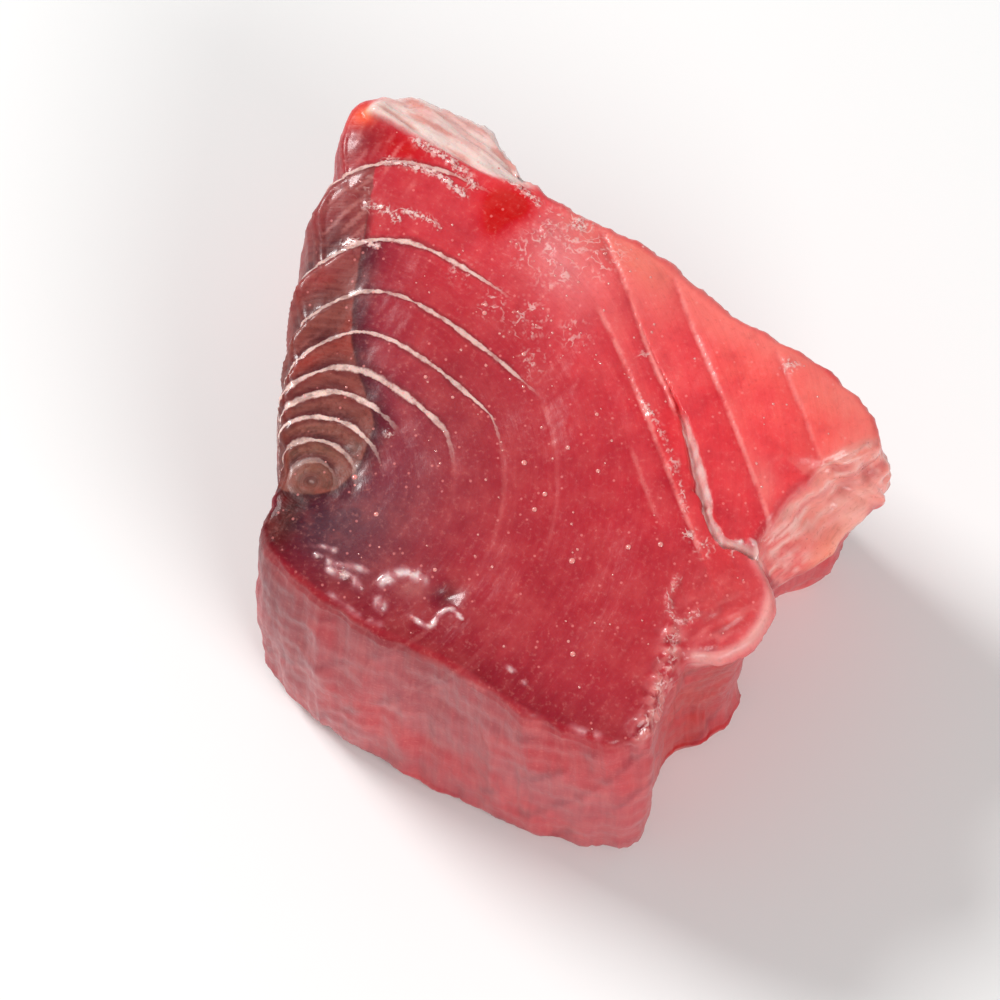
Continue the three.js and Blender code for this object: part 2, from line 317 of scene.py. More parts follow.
def side_rows(rim):
    """The side's rows of points from the base up, with both of its edges rounded."""
    rows = []
    turns = np.linspace(0, np.pi / 2, ROUND_ROWS)
    for turn in turns:
        rows.append(side_row(rim, 0, BASE_ROUND * (1 - math.sin(turn)), BASE_ROUND * (1 - math.cos(turn))))
    lowest = BASE_ROUND / FACE_HEIGHT
    highest = 1 - TOP_ROUND / FACE_HEIGHT
    for share in np.linspace(lowest, highest, int(FACE_HEIGHT / ROW_STEP))[1:-1]:
        rows.append(side_row(rim, share, 0, 0))
    for turn in turns:
        rows.append(side_row(rim, 1, TOP_ROUND * (1 - math.cos(turn)), TOP_ROUND * (math.sin(turn) - 1)))
    return np.array(rows)


def within(outline, plan, margin):
    """Which places lie inside an outline that is star-shaped about the heart, and how far out each is."""
    edge, offset = outline - HEART, plan - HEART
    angles = np.arctan2(edge[:, 1], edge[:, 0])
    order = np.argsort(angles)
    reaches = np.linalg.norm(edge, axis=1)[order]
    angle = np.arctan2(offset[:, 1], offset[:, 0])
    reach = np.interp(angle, angles[order], reaches, period=2 * np.pi)
    distance = np.linalg.norm(offset, axis=1)
    return distance < reach - margin, distance / reach


def crowned_height(edge, plan):
    """The height of the upper face, which is crowned a little inside its edge."""
    share = np.clip(within(edge, plan, 0)[1], 0, 1)
    return face_height(plan) + FACE_CROWN * (1 - share ** 4)


def staggered(step):
    """A plain triangular grid of places over the whole plan, a little shaken."""
    low, high = CORNERS[:, :2].min(0) - GRID_MARGIN, CORNERS[:, :2].max(0) + GRID_MARGIN
    row_step = step * math.sqrt(3) / 2
    xs, ys = np.meshgrid(np.arange(low[0], high[0], step), np.arange(low[1], high[1], row_step))
    xs[1::2] += step / 2
    grid = np.stack([xs.ravel(), ys.ravel()], 1)
    draw = np.random.default_rng(3)
    return grid + draw.uniform(-GRID_SHAKE, GRID_SHAKE, grid.shape) * step


def crack_places():
    """Places close to the crack, in lines along it, so that its lips are crisp."""
    line = smooth_path(CRACK_ROUTE, CRACK_POINTS)[:CRACK_LAST]
    heading = np.gradient(line, axis=0)
    across = np.stack([-heading[:, 1], heading[:, 0]], 1) / np.linalg.norm(heading, axis=1)[:, None]
    return np.vstack([line + across * lane for lane in CRACK_LANES])


def face_places(edge):
    """Places all over the upper face: an even spread, and the lines along the crack."""
    spread = staggered(FACE_STEP)
    spread = spread[np.abs(along_path(spread, CRACK_ROUTE)[0]) > CRACK_REACH]
    places = np.vstack([spread, crack_places()])
    return places[within(edge, places, FACE_STEP * 0.7)[0]]


def inside_outline(outline, plan):
    """Which places an outline encloses, counting the edges that a line to the right of each crosses."""
    enclosed = np.zeros(len(plan), bool)
    for (x, y), (next_x, next_y) in zip(outline, np.roll(outline, -1, axis=0)):
        if y != next_y:
            spans = (y > plan[:, 1]) != (next_y > plan[:, 1])
            enclosed ^= spans & (plan[:, 0] < x + (next_x - x) * (plan[:, 1] - y) / (next_y - y))
    return enclosed


def triangulated(outline, inner):
    """Triangles over an outline and the places in it, by their numbers, with the outline's first."""
    places = np.vstack([outline, inner])
    loop = [(i, (i + 1) % len(outline)) for i in range(len(outline))]
    made = delaunay_2d_cdt([Vector(place) for place in places], loop, [], 0, 1e-6, True)
    names = np.array([ids[0] for ids in made[3]])
    triangles = names[np.array(made[2])]
    return triangles[inside_outline(outline, places[triangles].mean(1))].tolist()


def chunk_mesh():
    """Points of the whole surface with its faces, and what the points of the side belong to."""
    rim = stations()
    rows = side_rows(rim)
    row_count, count = rows.shape[:2]
    base_edge, top_edge = rows[0, :, :2], rows[-1, :, :2]
    base_inner = staggered(BASE_STEP)
    base_inner = base_inner[within(base_edge, base_inner, BASE_STEP / 2)[0]]
    face_inner = face_places(top_edge)
    face_points = np.column_stack([face_inner, crowned_height(top_edge, face_inner)])
    base_points = np.column_stack([base_inner, np.zeros(len(base_inner))])
    points = np.vstack([rows.reshape(-1, 3), face_points, base_points])

    faces = []
    for row in range(row_count - 1):
        start = row * count
        for i in range(count):
            after = (i + 1) % count
            faces.append((start + i, start + after, start + after + count, start + i + count))
    top_start = (row_count - 1) * count
    inner_start = row_count * count
    for face in triangulated(top_edge, face_inner):
        faces.append(tuple(top_start + k if k < count else inner_start + k - count for k in face))
    base_start = inner_start + len(face_inner)
    for face in triangulated(base_edge, base_inner):
        faces.append(tuple(k if k < count else base_start + k - count for k in face[::-1]))
    return points, faces, SimpleNamespace(row_count=row_count, count=count, rim=rim, top_edge=top_edge)


def in_scene(name, data):
    """A new object in the scene."""
    made = bpy.data.objects.new(name, data)
    bpy.context.scene.collection.objects.link(made)
    return made


def build_object(name, points, faces):
    """A Blender object from points in millimetres of the plan."""
    mesh = bpy.data.meshes.new(name)
    mesh.from_pydata(((points - MIDDLE) * MM).tolist(), [], faces)
    mesh.validate()
    mesh.polygons.foreach_set("use_smooth", [True] * len(mesh.polygons))
    mesh.update()
    return in_scene(name, mesh)


def vertex_normals(points, faces):
    normals = np.zeros_like(points)
    for size in (3, 4):
        same = np.array([face for face in faces if len(face) == size])
        start, second, third = (points[same[:, corner]] for corner in range(3))
        normal = np.cross(second - start, third - start)
        for corner in range(size):
            np.add.at(normals, same[:, corner], normal)
    return normals / np.maximum(np.linalg.norm(normals, axis=1)[:, None], 1e-12)


# What the surface shows: the dark muscle, the zones of the face, the crack and the torn places.

MUSCLE_FOOT = np.array([-19.5, -14.5])
MUSCLE_ALONG = np.array([-0.414, 0.910])
MUSCLE_ACROSS = np.array([0.910, 0.414])
MUSCLE_WIDTH = 1.9
MUSCLE_SWELL = 3.9  # how much wider it is by its foot
MUSCLE_END = np.array([-19.3, -15.1])  # the middle of its round front end
MUSCLE_RADIUS = 5.3
MUSCLE_LAYERS = 9  # the layers that have dark muscle on the upper face
MUSCLE_LAST_Y = 7.5
MUSCLE_STEP = 4.5  # how much further back it reaches at a layer's top than at its bottom
WHITE_FROM = (-30, 15)  # angles over which the arcs turn white
WHITE_TO = (225, 190)  # angles over which the white ends again
THICK_WHITES = 5
SEAM_FROM = (-45, -22)  # angles over which the faint seams set in
SEAM_FAR = 9  # where a place has no membrane beside it
SIDE_BLEND = 0.9  # how softly the tones of a layer set in past its seam, on the side
CRACK_SHARES = [0.0, 0.32, 0.42, 0.5, 0.62, 0.72, 0.81, 0.9, 1.0]
CRACK_WIDTHS = [0.15, 0.25, 0.75, 1.35, 1.3, 0.75, 0.9, 1.0, 1.3]
CRACK_DEPTHS = [0.2, 0.4, 0.7, 1.0, 1.1, 0.9, 1.1, 1.6, 2.6]
TONGUE = (23.0, -8.6, 3.6)
TONGUE_RIM = [(22.0, -1.3), (24.8, -3.0), (26.0, -6.0), (25.8, -9.2), (24.6, -11.4), (22.6, -12.8)]
TONGUE_GRAIN = 60  # degrees, the way its streaks run
TONGUE_CURL = [(17.3, -7.6), (17.6, -9.6), (18.7, -10.9), (20.2, -10.6), (20.5, -9.4)]
TORN_STRIP = [(19.9, -12.6), (20.9, -14.8), (21.6, -17.4), (22.4, -20.0), (22.4, -22.0)]
LEDGE_EDGE = [(21.6, -0.6), (21.4, 3.0), (22.2, 7.4), (22.8, 10.8), (24.2, 13.4), (25.6, 15.4)]
LEDGE_SLITS = [(24.8, 10.6, 0.45), (25.9, 12.6, 0.4)]
SLIT_TURN = 65
FILM_RISE = (0.65, -0.45)
FILM_EDGE = [(-33.0, 15.6), (-30.6, 15.9), (-27.6, 16.1), (-24.0, 16.5), (-19.6, 16.9), (-15.0, 18.2)]
FROTH_LINES = [
    ([(-28.6, 12.3), (-26.5, 13.2), (-23.9, 13.9), (-20.7, 13.7)], 0.4, 1.0),
    ([(-27.4, 15.8), (-25.4, 16.0), (-23.2, 15.8), (-20.4, 15.1)], 0.55, 0.8),
    ([(-18.2, 17.5), (-16.0, 17.3), (-14.2, 17.0)], 0.4, 0.8),
    ([(-28.0, 7.6), (-26.4, 8.2), (-24.4, 8.2)], 0.5, 0.7),
    ([(-24.4, 9.1), (-22.8, 9.5), (-21.0, 9.6)], 0.4, 0.7),
    ([(-27.4, 3.6), (-26.2, 4.4), (-24.8, 4.9)], 0.45, 0.8),
    ([(4.4, 5.7), (6.6, 4.5), (8.6, 3.4), (11.2, 1.4), (13.2, -0.5), (14.6, -2.0)], 0.3, 0.5),
    (TONGUE_CURL, 0.35, 0.5),
    (TORN_STRIP, 0.6, 0.42),
]
# Glossy curls where the light glints on wet lumps, raised and painted pale as highlights: path, width and
# strength.
GLINT_CURLS = [
    ([(-13.5, -23.4), (-12.5, -23.1), (-11.4, -22.8)], 0.22, 0.8),
    ([(-12.5, -24.1), (-11.0, -24.0), (-9.6, -23.4), (-7.9, -22.7)], 0.28, 0.9),
    ([(-10.8, -24.6), (-9.6, -24.3), (-8.5, -24.1), (-7.6, -24.3)], 0.36, 1.0),
    ([(-5.8, -22.9), (-5.6, -22.2), (-5.0, -21.4), (-4.0, -20.7), (-2.8, -20.6)], 0.5, 1.0),
    ([(-5.3, -24.6), (-4.8, -24.8)], 0.45, 1.0),
    ([(-1.8, -24.1), (-0.4, -24.3), (0.3, -24.0), (0.5, -22.2), (1.1, -21.7), (2.4, -22.0)], 0.2, 1.0),
    ([(8.6, -23.6), (10.6, -23.9)], 0.22, 0.7),
    ([(17.6, -1.5), (18.6, -2.3), (19.6, -2.0), (20.3, -0.9), (21.2, -0.4)], 0.22, 1.0),
    ([(-9.4, -26.4), (-6.6, -26.7), (-4.0, -26.4)], 0.3, 0.5),
    ([(16.6, -25.0), (19.4, -24.2)], 0.3, 0.6),
]
FROTH_SPOTS = [
    (-11.0, 15.2, 2.6, 0.45), (-9.0, 11.8, 2.4, 0.3), (-12.6, 12.0, 2.0, 0.25), (-9.9, 17.4, 1.1, 0.8),
    (-6.5, 15.5, 2.6, 0.35), (-29.2, 9.2, 1.2, 0.3), (-8.8, 6.2, 2.0, 0.4), (-12.4, 4.6, 1.0, 0.35),
    (-12.1, 6.0, 1.4, 0.35), (-16.3, 7.0, 1.5, 0.28), (-6.0, 3.0, 1.6, 0.28), (-4.0, 7.5, 1.6, 0.28),
    (17.6, -3.6, 0.9, 0.6), (15.9, -3.3, 0.6, 0.7), (19.8, -1.9, 0.6, 0.7), (14.6, 16.2, 0.8, 0.7),
    (-13.4, -10.4, 0.4, 0.7), (22.4, 1.0, 1.3, 0.45), (11.0, 1.5, 0.6, 0.6), (6.6, 4.6, 0.6, 0.6),
    (2.4, 9.6, 0.6, 0.5), (-9.6, -24.2, 0.5, 0.8),
]
SWELLS = [(9, 0.11, 1), (3.2, 0.04, 2), (1.1, 0.01, 3)]  # wavelength, height, seed
DENTS = [(0.3, -3.4, -21.9, 1.1, 1.8, 25), (-0.5, -0.2, -20.9, 0.9, 1.5, 60)]  # height, and the spot's


def strongest(plan, lines):
    """The strongest of several soft lines at each place."""
    return np.maximum.reduce([strength * near_path(plan, line, width) for line, width, strength in lines])


def curls_at(plan):
    """Glossy curls where the light glints on wet lumps, painted pale as highlights, broken here and there.
    """
    return strongest(plan, GLINT_CURLS) * mottled(plan, 2.0, 19, -1.7, -0.5)


def froth_at(plan):
    spots = [strength * spot(plan, x, y, radius) for x, y, radius, strength in FROTH_SPOTS]
    return np.maximum.reduce([strongest(plan, FROTH_LINES), *spots])


def crack_at(plan):
    """How deep the crack is at each place, how much of it is the pale sloping wall, and its far side."""
    side, share = along_path(plan, CRACK_ROUTE)
    width = np.interp(share, CRACK_SHARES, CRACK_WIDTHS)
    place = side / width + 0.09 * ripples(plan, 2.2, 11)
    groove = smoothstep(-0.5, -0.32, place) * smoothstep(0.5, -0.2, place) ** 0.8
    groove *= np.interp(share, CRACK_SHARES, CRACK_DEPTHS) * smoothstep(0, 0.06, share)
    open_part = smoothstep(0.36, 0.44, share)
    wall = smoothstep(-0.34, -0.2, place) * smoothstep(0.62, 0.42, place) * open_part
    far_side = smoothstep(-0.1, 0.5, place) * np.exp(-np.clip(side, 0, None) / 3.0) * open_part
    return groove, wall, far_side


def muscle_depth(seen):
    """How far inside the dark muscle a place is, in mm, negative outside.

    It follows the layers just below the face, and further down it runs straight down the skin side,
    a little further back in each layer's upper part.
    """
    below = smoothstep(0.5, 5, seen.depth)
    step_back = smoothstep(1 - np.clip(1.4 / seen.thickness, 0.05, 0.5), 1, seen.share)
    steps = (seen.share - step_back - 0.3) * below * MUSCLE_STEP
    place = mix(seen.face_place, seen.plan, below[:, None]) + steps[:, None] * MUSCLE_ALONG
    offset = place - MUSCLE_FOOT
    along, across = offset @ MUSCLE_ALONG, offset @ MUSCLE_ACROSS
    long_part = MUSCLE_WIDTH + MUSCLE_SWELL * bell(along - 1, 6.2) - across
    round_part = MUSCLE_RADIUS - np.linalg.norm(place - MUSCLE_END, axis=1)
    inside = mix(round_part, long_part, smoothstep(-2.5, 2.5, along))
    last = mix((MUSCLE_LAYERS - seen.number) * seen.thickness, MUSCLE_LAST_Y - place[:, 1], below)
    return np.minimum(inside, last)


def surface_thickness(values, points, rows, count):
    """How far apart whole numbers of values lie along the side, in mm, at each of its points."""
    grid = values[:rows * count].reshape(rows, count)
    places = points[:rows * count].reshape(rows, count, 3)
    up = np.gradient(grid, axis=0) / np.maximum(np.linalg.norm(np.gradient(places, axis=0), axis=2), 0.05)
    width = np.linalg.norm(np.roll(places, -1, 1) - np.roll(places, 1, 1), axis=2)
    across = (np.roll(grid, -1, 1) - np.roll(grid, 1, 1)) / np.maximum(width, 0.1)
    return 1 / np.clip(np.hypot(up, across), 1 / 25, 2).ravel()


def survey_place(seen, points, kind):
    """Where each point is: how deep below the face, how far from its edge, and where on the side."""
    rows, count = kind.row_count, kind.count
    turns = np.ones(rows)
    turns[:ROUND_ROWS] = np.sin(np.linspace(0, np.pi / 2, ROUND_ROWS))
    turns[-ROUND_ROWS:] = np.cos(np.linspace(0, np.pi / 2, ROUND_ROWS))
    seen.side, seen.round_the_rim, seen.scaled = np.zeros((3, len(points)))
    seen.side[:rows * count] = np.repeat(turns, count)
    seen.round_the_rim[:rows * count] = np.tile(kind.rim.round_the_rim, rows)
    seen.scaled[:rows * count] = np.tile(kind.rim.scaled, rows)
    share = np.clip(within(kind.top_edge, seen.plan, 0)[1], 0.05, 1)
    rim_reach = np.linalg.norm(seen.plan - HEART, axis=1)
    seen.inward = np.where(seen.side > 0, 0, (1 - share) / share * rim_reach)
    seen.level = crowned_height(kind.top_edge, seen.plan)
    seen.depth = np.clip(seen.level - points[:, 2], 0, None)
    seen.near_face = smoothstep(4, 1.5, seen.depth)
    reach = np.maximum(np.linalg.norm(seen.plan - APEX, axis=1), 0.4)
    seen.face_place = APEX + (seen.plan - APEX) * ((reach + LEAN * seen.depth) / reach)[:, None]


def survey_layers(seen, points, kind):
    """Which muscle layer each point is in, and how white or faint the membrane next to it is."""
    number, thickness, angle, radius = layers(seen.plan, seen.depth)
    number = np.minimum(number, len(MEMBRANES) - 0.01)
    side, x = seen.side, seen.face_place[:, 0]
    on_side = surface_thickness(number, points, kind.row_count, kind.count)
    thickness[:len(on_side)] = mix(thickness[:len(on_side)], on_side, side[:len(on_side)])
    seen.number, seen.thickness, seen.angle, seen.radius = number, thickness, angle, radius
    seen.share = number - np.floor(number)
    seen.past_seam = seen.share * thickness
    seen.seam = np.abs(number - np.round(number)) * thickness
    seen.seam[number < 0.5] = SEAM_FAR
    seen.muscle = muscle_depth(seen)

    nearest = np.clip(np.round(number).astype(int) - 1, 0, len(MEMBRANES) - 1)
    past_end = x - MEMBRANES[nearest, 4]
    fade = 1 - 0.65 * smoothstep(-2.5, 1.0, past_end) - 0.35 * smoothstep(0.0, 2.6, past_end)
    seen.white = MEMBRANES[nearest, 3] * fade
    seen.white *= smoothstep(*WHITE_FROM, angle) * smoothstep(*WHITE_TO, angle)
    seen.white *= 1 - 0.9 * side * smoothstep(2, 13, seen.depth)
    seen.white *= 1 - side * smoothstep(8, 14, thickness)
    seen.white_reach = mix(0.14, 0.23, smoothstep(1, -8, past_end)) + 0.09 * (nearest < THICK_WHITES)
    seen.white_reach *= 1 + 0.18 * ripples(seen.face_place, 3.5, 21)

    seen.faint, seen.past_faint = np.zeros((2, len(points)))
    for membrane, start, end, strength in SEAMS:
        shown = smoothstep(start - 1, start + 1, x) * smoothstep(end + 1, end - 1, x)
        shown *= strength * smoothstep(*SEAM_FROM, angle)
        seen.faint = np.where(nearest == membrane, shown, seen.faint)
        seen.past_faint = np.where(np.floor(number) == membrane + 1, shown, seen.past_faint)


def survey_torn(seen, points):
    """The crack, the membrane at the torn corner, the torn ledge, the lobe, the froth and the glossy curls
    of painted highlights.
    """
    plan, near_face = seen.plan, seen.near_face
    x, y = plan[:, 0], plan[:, 1]
    seen.groove, wall, seen.far_side = crack_at(plan)
    seen.wall = wall * near_face
    seen.above_film = along_path(seen.face_place, FILM_EDGE)[0]
    hem = seen.depth * np.clip(1 + 0.25 * ripples(points, 7, 17), 0.6, 2)
    seen.film = smoothstep(-0.3, 0.3, seen.above_film) * (y > 10) * smoothstep(8, 2.5, hem)
    seen.film *= smoothstep(-33.6, -32.4, x) * smoothstep(-14.0, -18.5, x)
    seen.beyond_ledge = -along_path(plan, LEDGE_EDGE)[0]
    hem = seen.depth * np.clip(1 + 0.3 * ripples(points, 4, 18), 0.7, 2)
    seen.ledge = smoothstep(-0.5, 0.4, seen.beyond_ledge) * (x > 15) * smoothstep(-2.2, 0.2, y)
    seen.ledge *= smoothstep(11.5, 7.0, hem)
    seen.froth = froth_at(plan) * near_face
    seen.curls = curls_at(plan) * near_face
    seen.tongue = spot(plan, *TONGUE) * near_face
    seen.tongue_rim = near_path(plan, TONGUE_RIM, 0.65) * near_face
    seen.tongue_curl = near_path(plan, TONGUE_CURL, 0.38) * near_face
    seen.torn_strip = near_path(plan, TORN_STRIP, 1.1) * near_face


def survey(points, kind):
    """Everything about each point that its relief and its colours need."""
    seen = SimpleNamespace(plan=points[:, :2])
    survey_place(seen, points, kind)
    survey_layers(seen, points, kind)
    survey_torn(seen, points)
    return seen


def along_film(points):
    """Places stretched along the torn membrane, for streaks that run along it."""
    return points * (0.16, 1, 0.6)


def along_tongue(points):
    """Places stretched the way the streaks of the rounded lobe run."""
    along, across = turned(points, TONGUE_GRAIN)
    return np.column_stack([along * 0.25, across, points[:, 2] * 0.3])


def along_ledge(points, seen):
    """Places stretched along the torn ledge."""
    return np.column_stack([seen.round_the_rim * 0.22, points[:, 2], seen.beyond_ledge])


def layer_relief(points, seen):
    """The ridges of the white membranes, the faint seams, and the layers that stand out in steps."""
    side, share = seen.side, seen.share
    skin_part = smoothstep(0, 2.5, seen.muscle)
    beading = (0.8 + 0.35 * ripples(points, 1.4, 4)) * mix(1, 0.3, side)
    height = 0.1 * seen.white * bell(seen.seam, mix(0.24, 0.5, side)) * beading
    height -= 0.09 * seen.faint * bell(seen.seam, 0.3)
    height += 0.16 * seen.past_faint * np.exp(-seen.past_seam / 1.8)
    steps = mix(0.4, 1.15, seen.scaled * side) * (1 - 0.8 * smoothstep(3.5, 10, seen.depth))
    steps *= smoothstep(mix(0.4, 2, side), mix(2.5, 5, side), seen.number)
    steps *= mix(1, smoothstep(1.8, 3.6, seen.thickness), side)
    height += steps * skin_part * share ** 1.6 * smoothstep(1, mix(0.88, 0.72, side), share)
    return height + 0.07 * np.sin(np.pi * share) * (1 - skin_part) * (1 - side)


def torn_relief(points, seen):
    """The crack's far side, the membrane, the ledge's fibres and slits, the lobe and the torn strip."""
    film, fibres = along_film(points), along_ledge(points, seen)
    height = 0.4 * seen.far_side * seen.near_face
    rise = mix(*FILM_RISE, smoothstep(-30, -18, seen.plan[:, 0]))
    height += seen.film * (0.1 * ripples(film, 0.9, 9) + 0.2 * ripples(film, 2.4, 10) + rise)
    ragged = mix(0.35, 1, bell(seen.beyond_ledge - 1.2, 1.4))
    height += seen.ledge * ragged * (0.1 * ripples(fibres, 0.9, 12) + 0.16 * ripples(fibres, 2.2, 13))
    for x, y, radius in LEDGE_SLITS:
        height -= 0.4 * spot(seen.plan, x, y, radius, 2.6, SLIT_TURN) * seen.near_face
    height += 0.2 * seen.tongue_rim
    height += seen.tongue * (0.09 * ripples(along_tongue(points), 1.1, 15) - 0.1)
    height += 0.16 * seen.tongue_curl * (0.7 + 0.5 * ripples(points, 1.3, 16))
    return height + seen.torn_strip * (0.2 + 0.2 * ripples(points, 1.2, 14))


def relief(points, seen):
    """How far the surface stands out from the solid's form, along its normal, in mm."""
    height = layer_relief(points, seen) + torn_relief(points, seen)
    for wavelength, size, seed in SWELLS:
        height += size * ripples(points, wavelength, seed)
    streaks = np.column_stack([seen.round_the_rim, points[:, 2] * 0.12])
    plain = seen.side * mix(1, 0.4, seen.scaled)
    height += plain * (0.05 * ripples(streaks, 1.0, 7) + 0.11 * ripples(streaks, 3.4, 8))
    height += seen.froth * (0.16 * np.abs(ripples(points, 1.5, 5)) + 0.05 * ripples(points, 0.8, 6))
    height += seen.curls * (0.26 + 0.07 * ripples(points, 1.0, 20))
    for size, *place in DENTS:
        height += size * spot(seen.plan, *place)
    return height * smoothstep(0, 2.0, points[:, 2])


# What the surface's colours are, as everyday colours from 0 to 255.

GLOSS_LIGHT = 0.011  # what the wet gloss adds to the light
FLESH_LIFTS = [0.04, 0.2, 0.33, 0.5, 0.6, 0.73, 0.85, 0.97]
FLESH_TONES = np.array([
    (146, 34, 46), (174, 48, 59), (181, 49, 59), (195, 50, 61), (209, 55, 65), (238, 68, 74), (248, 92, 88),
    (250, 118, 106),
], float)

# Soft patches: everyday colour, strength, how far down the side it reaches, and the spot's numbers.
ON_TOP = 0
ALL_DEPTHS = 1e9
DUSK_PATCHES = [
    ((150, 60, 68), 0.6, ON_TOP, -10, -9, 9, 1.2, 60),
    ((112, 74, 82), 0.9, ON_TOP, -14.0, -18.6, 8.4),
    ((78, 54, 64), 0.75, ON_TOP, -15.6, -21.4, 4.6, 1.4, -35),
]
FACE_PATCHES = [
    ((232, 78, 84), 0.4, ON_TOP, -20.5, 11.0, 5.0),
    ((236, 122, 120), 0.6, ON_TOP, -6.0, 14.4, 6.4, 1.5, -20),
    ((226, 142, 144), 0.6, ON_TOP, -9.5, 13.1, 2.8, 1.8, -35),
    ((244, 132, 112), 0.6, ON_TOP, -3.6, 17.2, 2.4, 2.0, -15),
    ((246, 132, 120), 0.6, 6, 27.0, 12.5, 3.5),
    ((206, 16, 26), 0.9, ALL_DEPTHS, -28.2, 14.5, 1.5, 1.8, 8),
]
RED_SPOTS = [(1.4, -17.0, 14.8, 1.9), (0.6, -15.4, 15.8, 1.3), (0.6, -16.6, 12.4, 1.2)]
LATER_PATCHES = [
    ((248, 92, 52), 1.0, 2.5, -33.2, 15.4, 1.1, 1.3, 60),
    ((250, 168, 110), 0.8, 2.5, -32.9, 15.9, 0.45),
    ((92, 12, 32), 0.85, ALL_DEPTHS, -0.2, -20.9, 1.1, 1.4, 60),
    ((212, 84, 84), 0.75, ON_TOP, 22.2, -7.0, 4.6),
    ((240, 122, 116), 0.7, ALL_DEPTHS, 19.1, 4.7, 1.0, 2.2, -50),
    ((176, 98, 96), 0.85, ALL_DEPTHS, -3.2, -22.0, 1.1, 1.7, 25),
]


def everyday(red, green, blue):
    return np.array([red, green, blue], float)


def as_light(colours):
    """Everyday colours from 0 to 255 as the light they stand for, less what the wet gloss adds."""
    shares = np.clip(colours / 255, 0, 1)
    light = np.where(shares <= 0.04045, shares / 12.92, ((shares + 0.055) / 1.055) ** 2.4)
    return np.clip(light - GLOSS_LIGHT, 0.002, 1)


def painted(tones, *coats):
    """Tones with coats of paint over them, each a colour and its share at every place."""
    for colour, share in coats:
        tones = tones + (everyday(*colour) - tones) * np.clip(share, 0, 1)[:, None]
    return tones


def patches(seen, table):
    """Coats on soft spots, each as far down the side as it says."""
    coats = []
    for colour, strength, down, *place in table:
        shown = np.exp(-seen.depth / down) if down else 1 - seen.side
        coats.append((colour, strength * shown * spot(seen.plan, *place)))
    return coats


def flesh_lift(plan):
    """How light the flesh is, from the deep front left to the coral back right."""
    return np.clip((0.9 * plan[:, 1] + 0.35 * plan[:, 0] + 25) / 50, 0, 1)


def face_tones(points, seen):
    """The red flesh of the upper face with its coloured places, which also run down the sides, and its
    painted shade.
    """
    side, muscle, here, depth = seen.side, seen.muscle, seen.plan, seen.depth
    top = 1 - side
    lift = mix(flesh_lift(seen.face_place), flesh_lift(here) * 0.7 + 0.1, side)
    lift = lift + 0.02 * ripples(points, 5, 31) + 0.012 * ripples(points, 1.6, 32)
    tones = np.column_stack([np.interp(lift, FLESH_LIFTS, FLESH_TONES[:, band]) for band in range(3)])
    layered = (seen.number < MUSCLE_LAYERS - 1) * mix(1, 0.4, side)
    wide = smoothstep(-7.5, -1.0, muscle) * smoothstep(-19, -13, here[:, 1])
    # Painted shadow: the front left corner is painted near-black violet, on the face and part way down the
    # side, as if in shade.
    corner = spot(here, -19.2, -22.6, 3.4, 1.5, -60) * mix(1, 0.7 * np.exp(-depth / 10), side)
    # Painted shade: the face is darker along its front edge.
    front = bell(seen.inward, 2.2) * (here[:, 1] < -18) * top
    saturated = (seen.number > 9) * (seen.number < 10) * smoothstep(4, 9, here[:, 0]) * top
    back = bell(seen.inward, 3.0) * (here[:, 1] > 8) * smoothstep(-13, -11, here[:, 0])
    back *= smoothstep(6, 0, depth + 1.2 * ripples(points, 5, 53))
    red = sum(strength * spot(here, *place) for strength, *place in RED_SPOTS)
    pale_lines = spot(here, -28.6, 13.2, 3.0, 1.6, 5) * mottled(here * (1, 0.3), 1.1, 50, 0.7, 1.5) * top
    left_rim = spot(here, -32.0, 12.0, 1.9, 2.0, 70) * np.exp(-depth / 9)
    scratches = mottled(here * (1, 0.2), 0.8, 39, 0.6, 1.4)
    return painted(
        tones,
        *patches(seen, DUSK_PATCHES),
        ((134, 40, 58), 0.62 * layered * wide),
        # painted shade: a narrow dark band just outside the dark muscle
        ((82, 30, 42), 0.85 * layered * bell(muscle + 0.6, 1.2)),
        # painted shadow in the front left corner
        ((26, 6, 24), 1.44 * corner),
        # painted shade along the front edge
        ((132, 22, 36), 0.55 * front),
        ((240, 52, 60), 0.45 * saturated),
        ((248, 134, 124), 0.6 * back),
        *patches(seen, FACE_PATCHES),
        ((200, 0, 12), red),
        ((238, 150, 140), 0.6 * pale_lines),
        ((138, 34, 42), 0.9 * left_rim),
        ((214, 140, 132), 0.6 * left_rim * scratches),
        *patches(seen, LATER_PATCHES),
    )


def detail_tones(tones, points, seen):
    """The seams of the plain side with painted light and shade of small steps, the streaks of the lobe and
    the painted highlight on its rim, the torn strip, and the curls with painted highlights.
    """
    top, streaks = 1 - seen.side, along_tongue(points)
    # Painted light just past each seam and painted shade just before it, as if each layer stood out in a
    # small step.
    past = np.exp(-seen.past_seam / 1.7) * seen.past_faint * (0.75 + 0.3 * ripples(points, 4, 40))
    before = np.exp((seen.past_seam - seen.thickness) / 1.5) * seen.faint
    before *= 1 - seen.past_faint * (seen.share < 0.5)
    return painted(
        tones,
        # painted light past the seams
        ((246, 132, 124), 0.42 * past * top),
        # painted shade before the seams
        ((186, 22, 40), 0.4 * before * top),
        ((238, 150, 144), 0.5 * seen.tongue * mottled(streaks, 1.0, 44, 0.2, 1.3)),
        ((176, 50, 58), 0.4 * seen.tongue * mottled(streaks, 1.3, 45, 0.2, 1.3)),
        # painted highlight: the lobe's rounded rim is painted pale pink-white
        ((244, 192, 184), 0.9 * seen.tongue_rim),
        ((230, 120, 118), 0.5 * seen.tongue_curl),
        ((242, 172, 162), 0.75 * seen.torn_strip * mottled(points, 1.3, 33, -1.0, 0.4)),
        # painted highlights: the glossy curls are painted pale, then near white in broken streaks
        ((200, 136, 140), 0.85 * seen.curls),
        ((242, 220, 218), seen.curls * mottled(points, 1.1, 52, -0.8, 0.7)),
    )


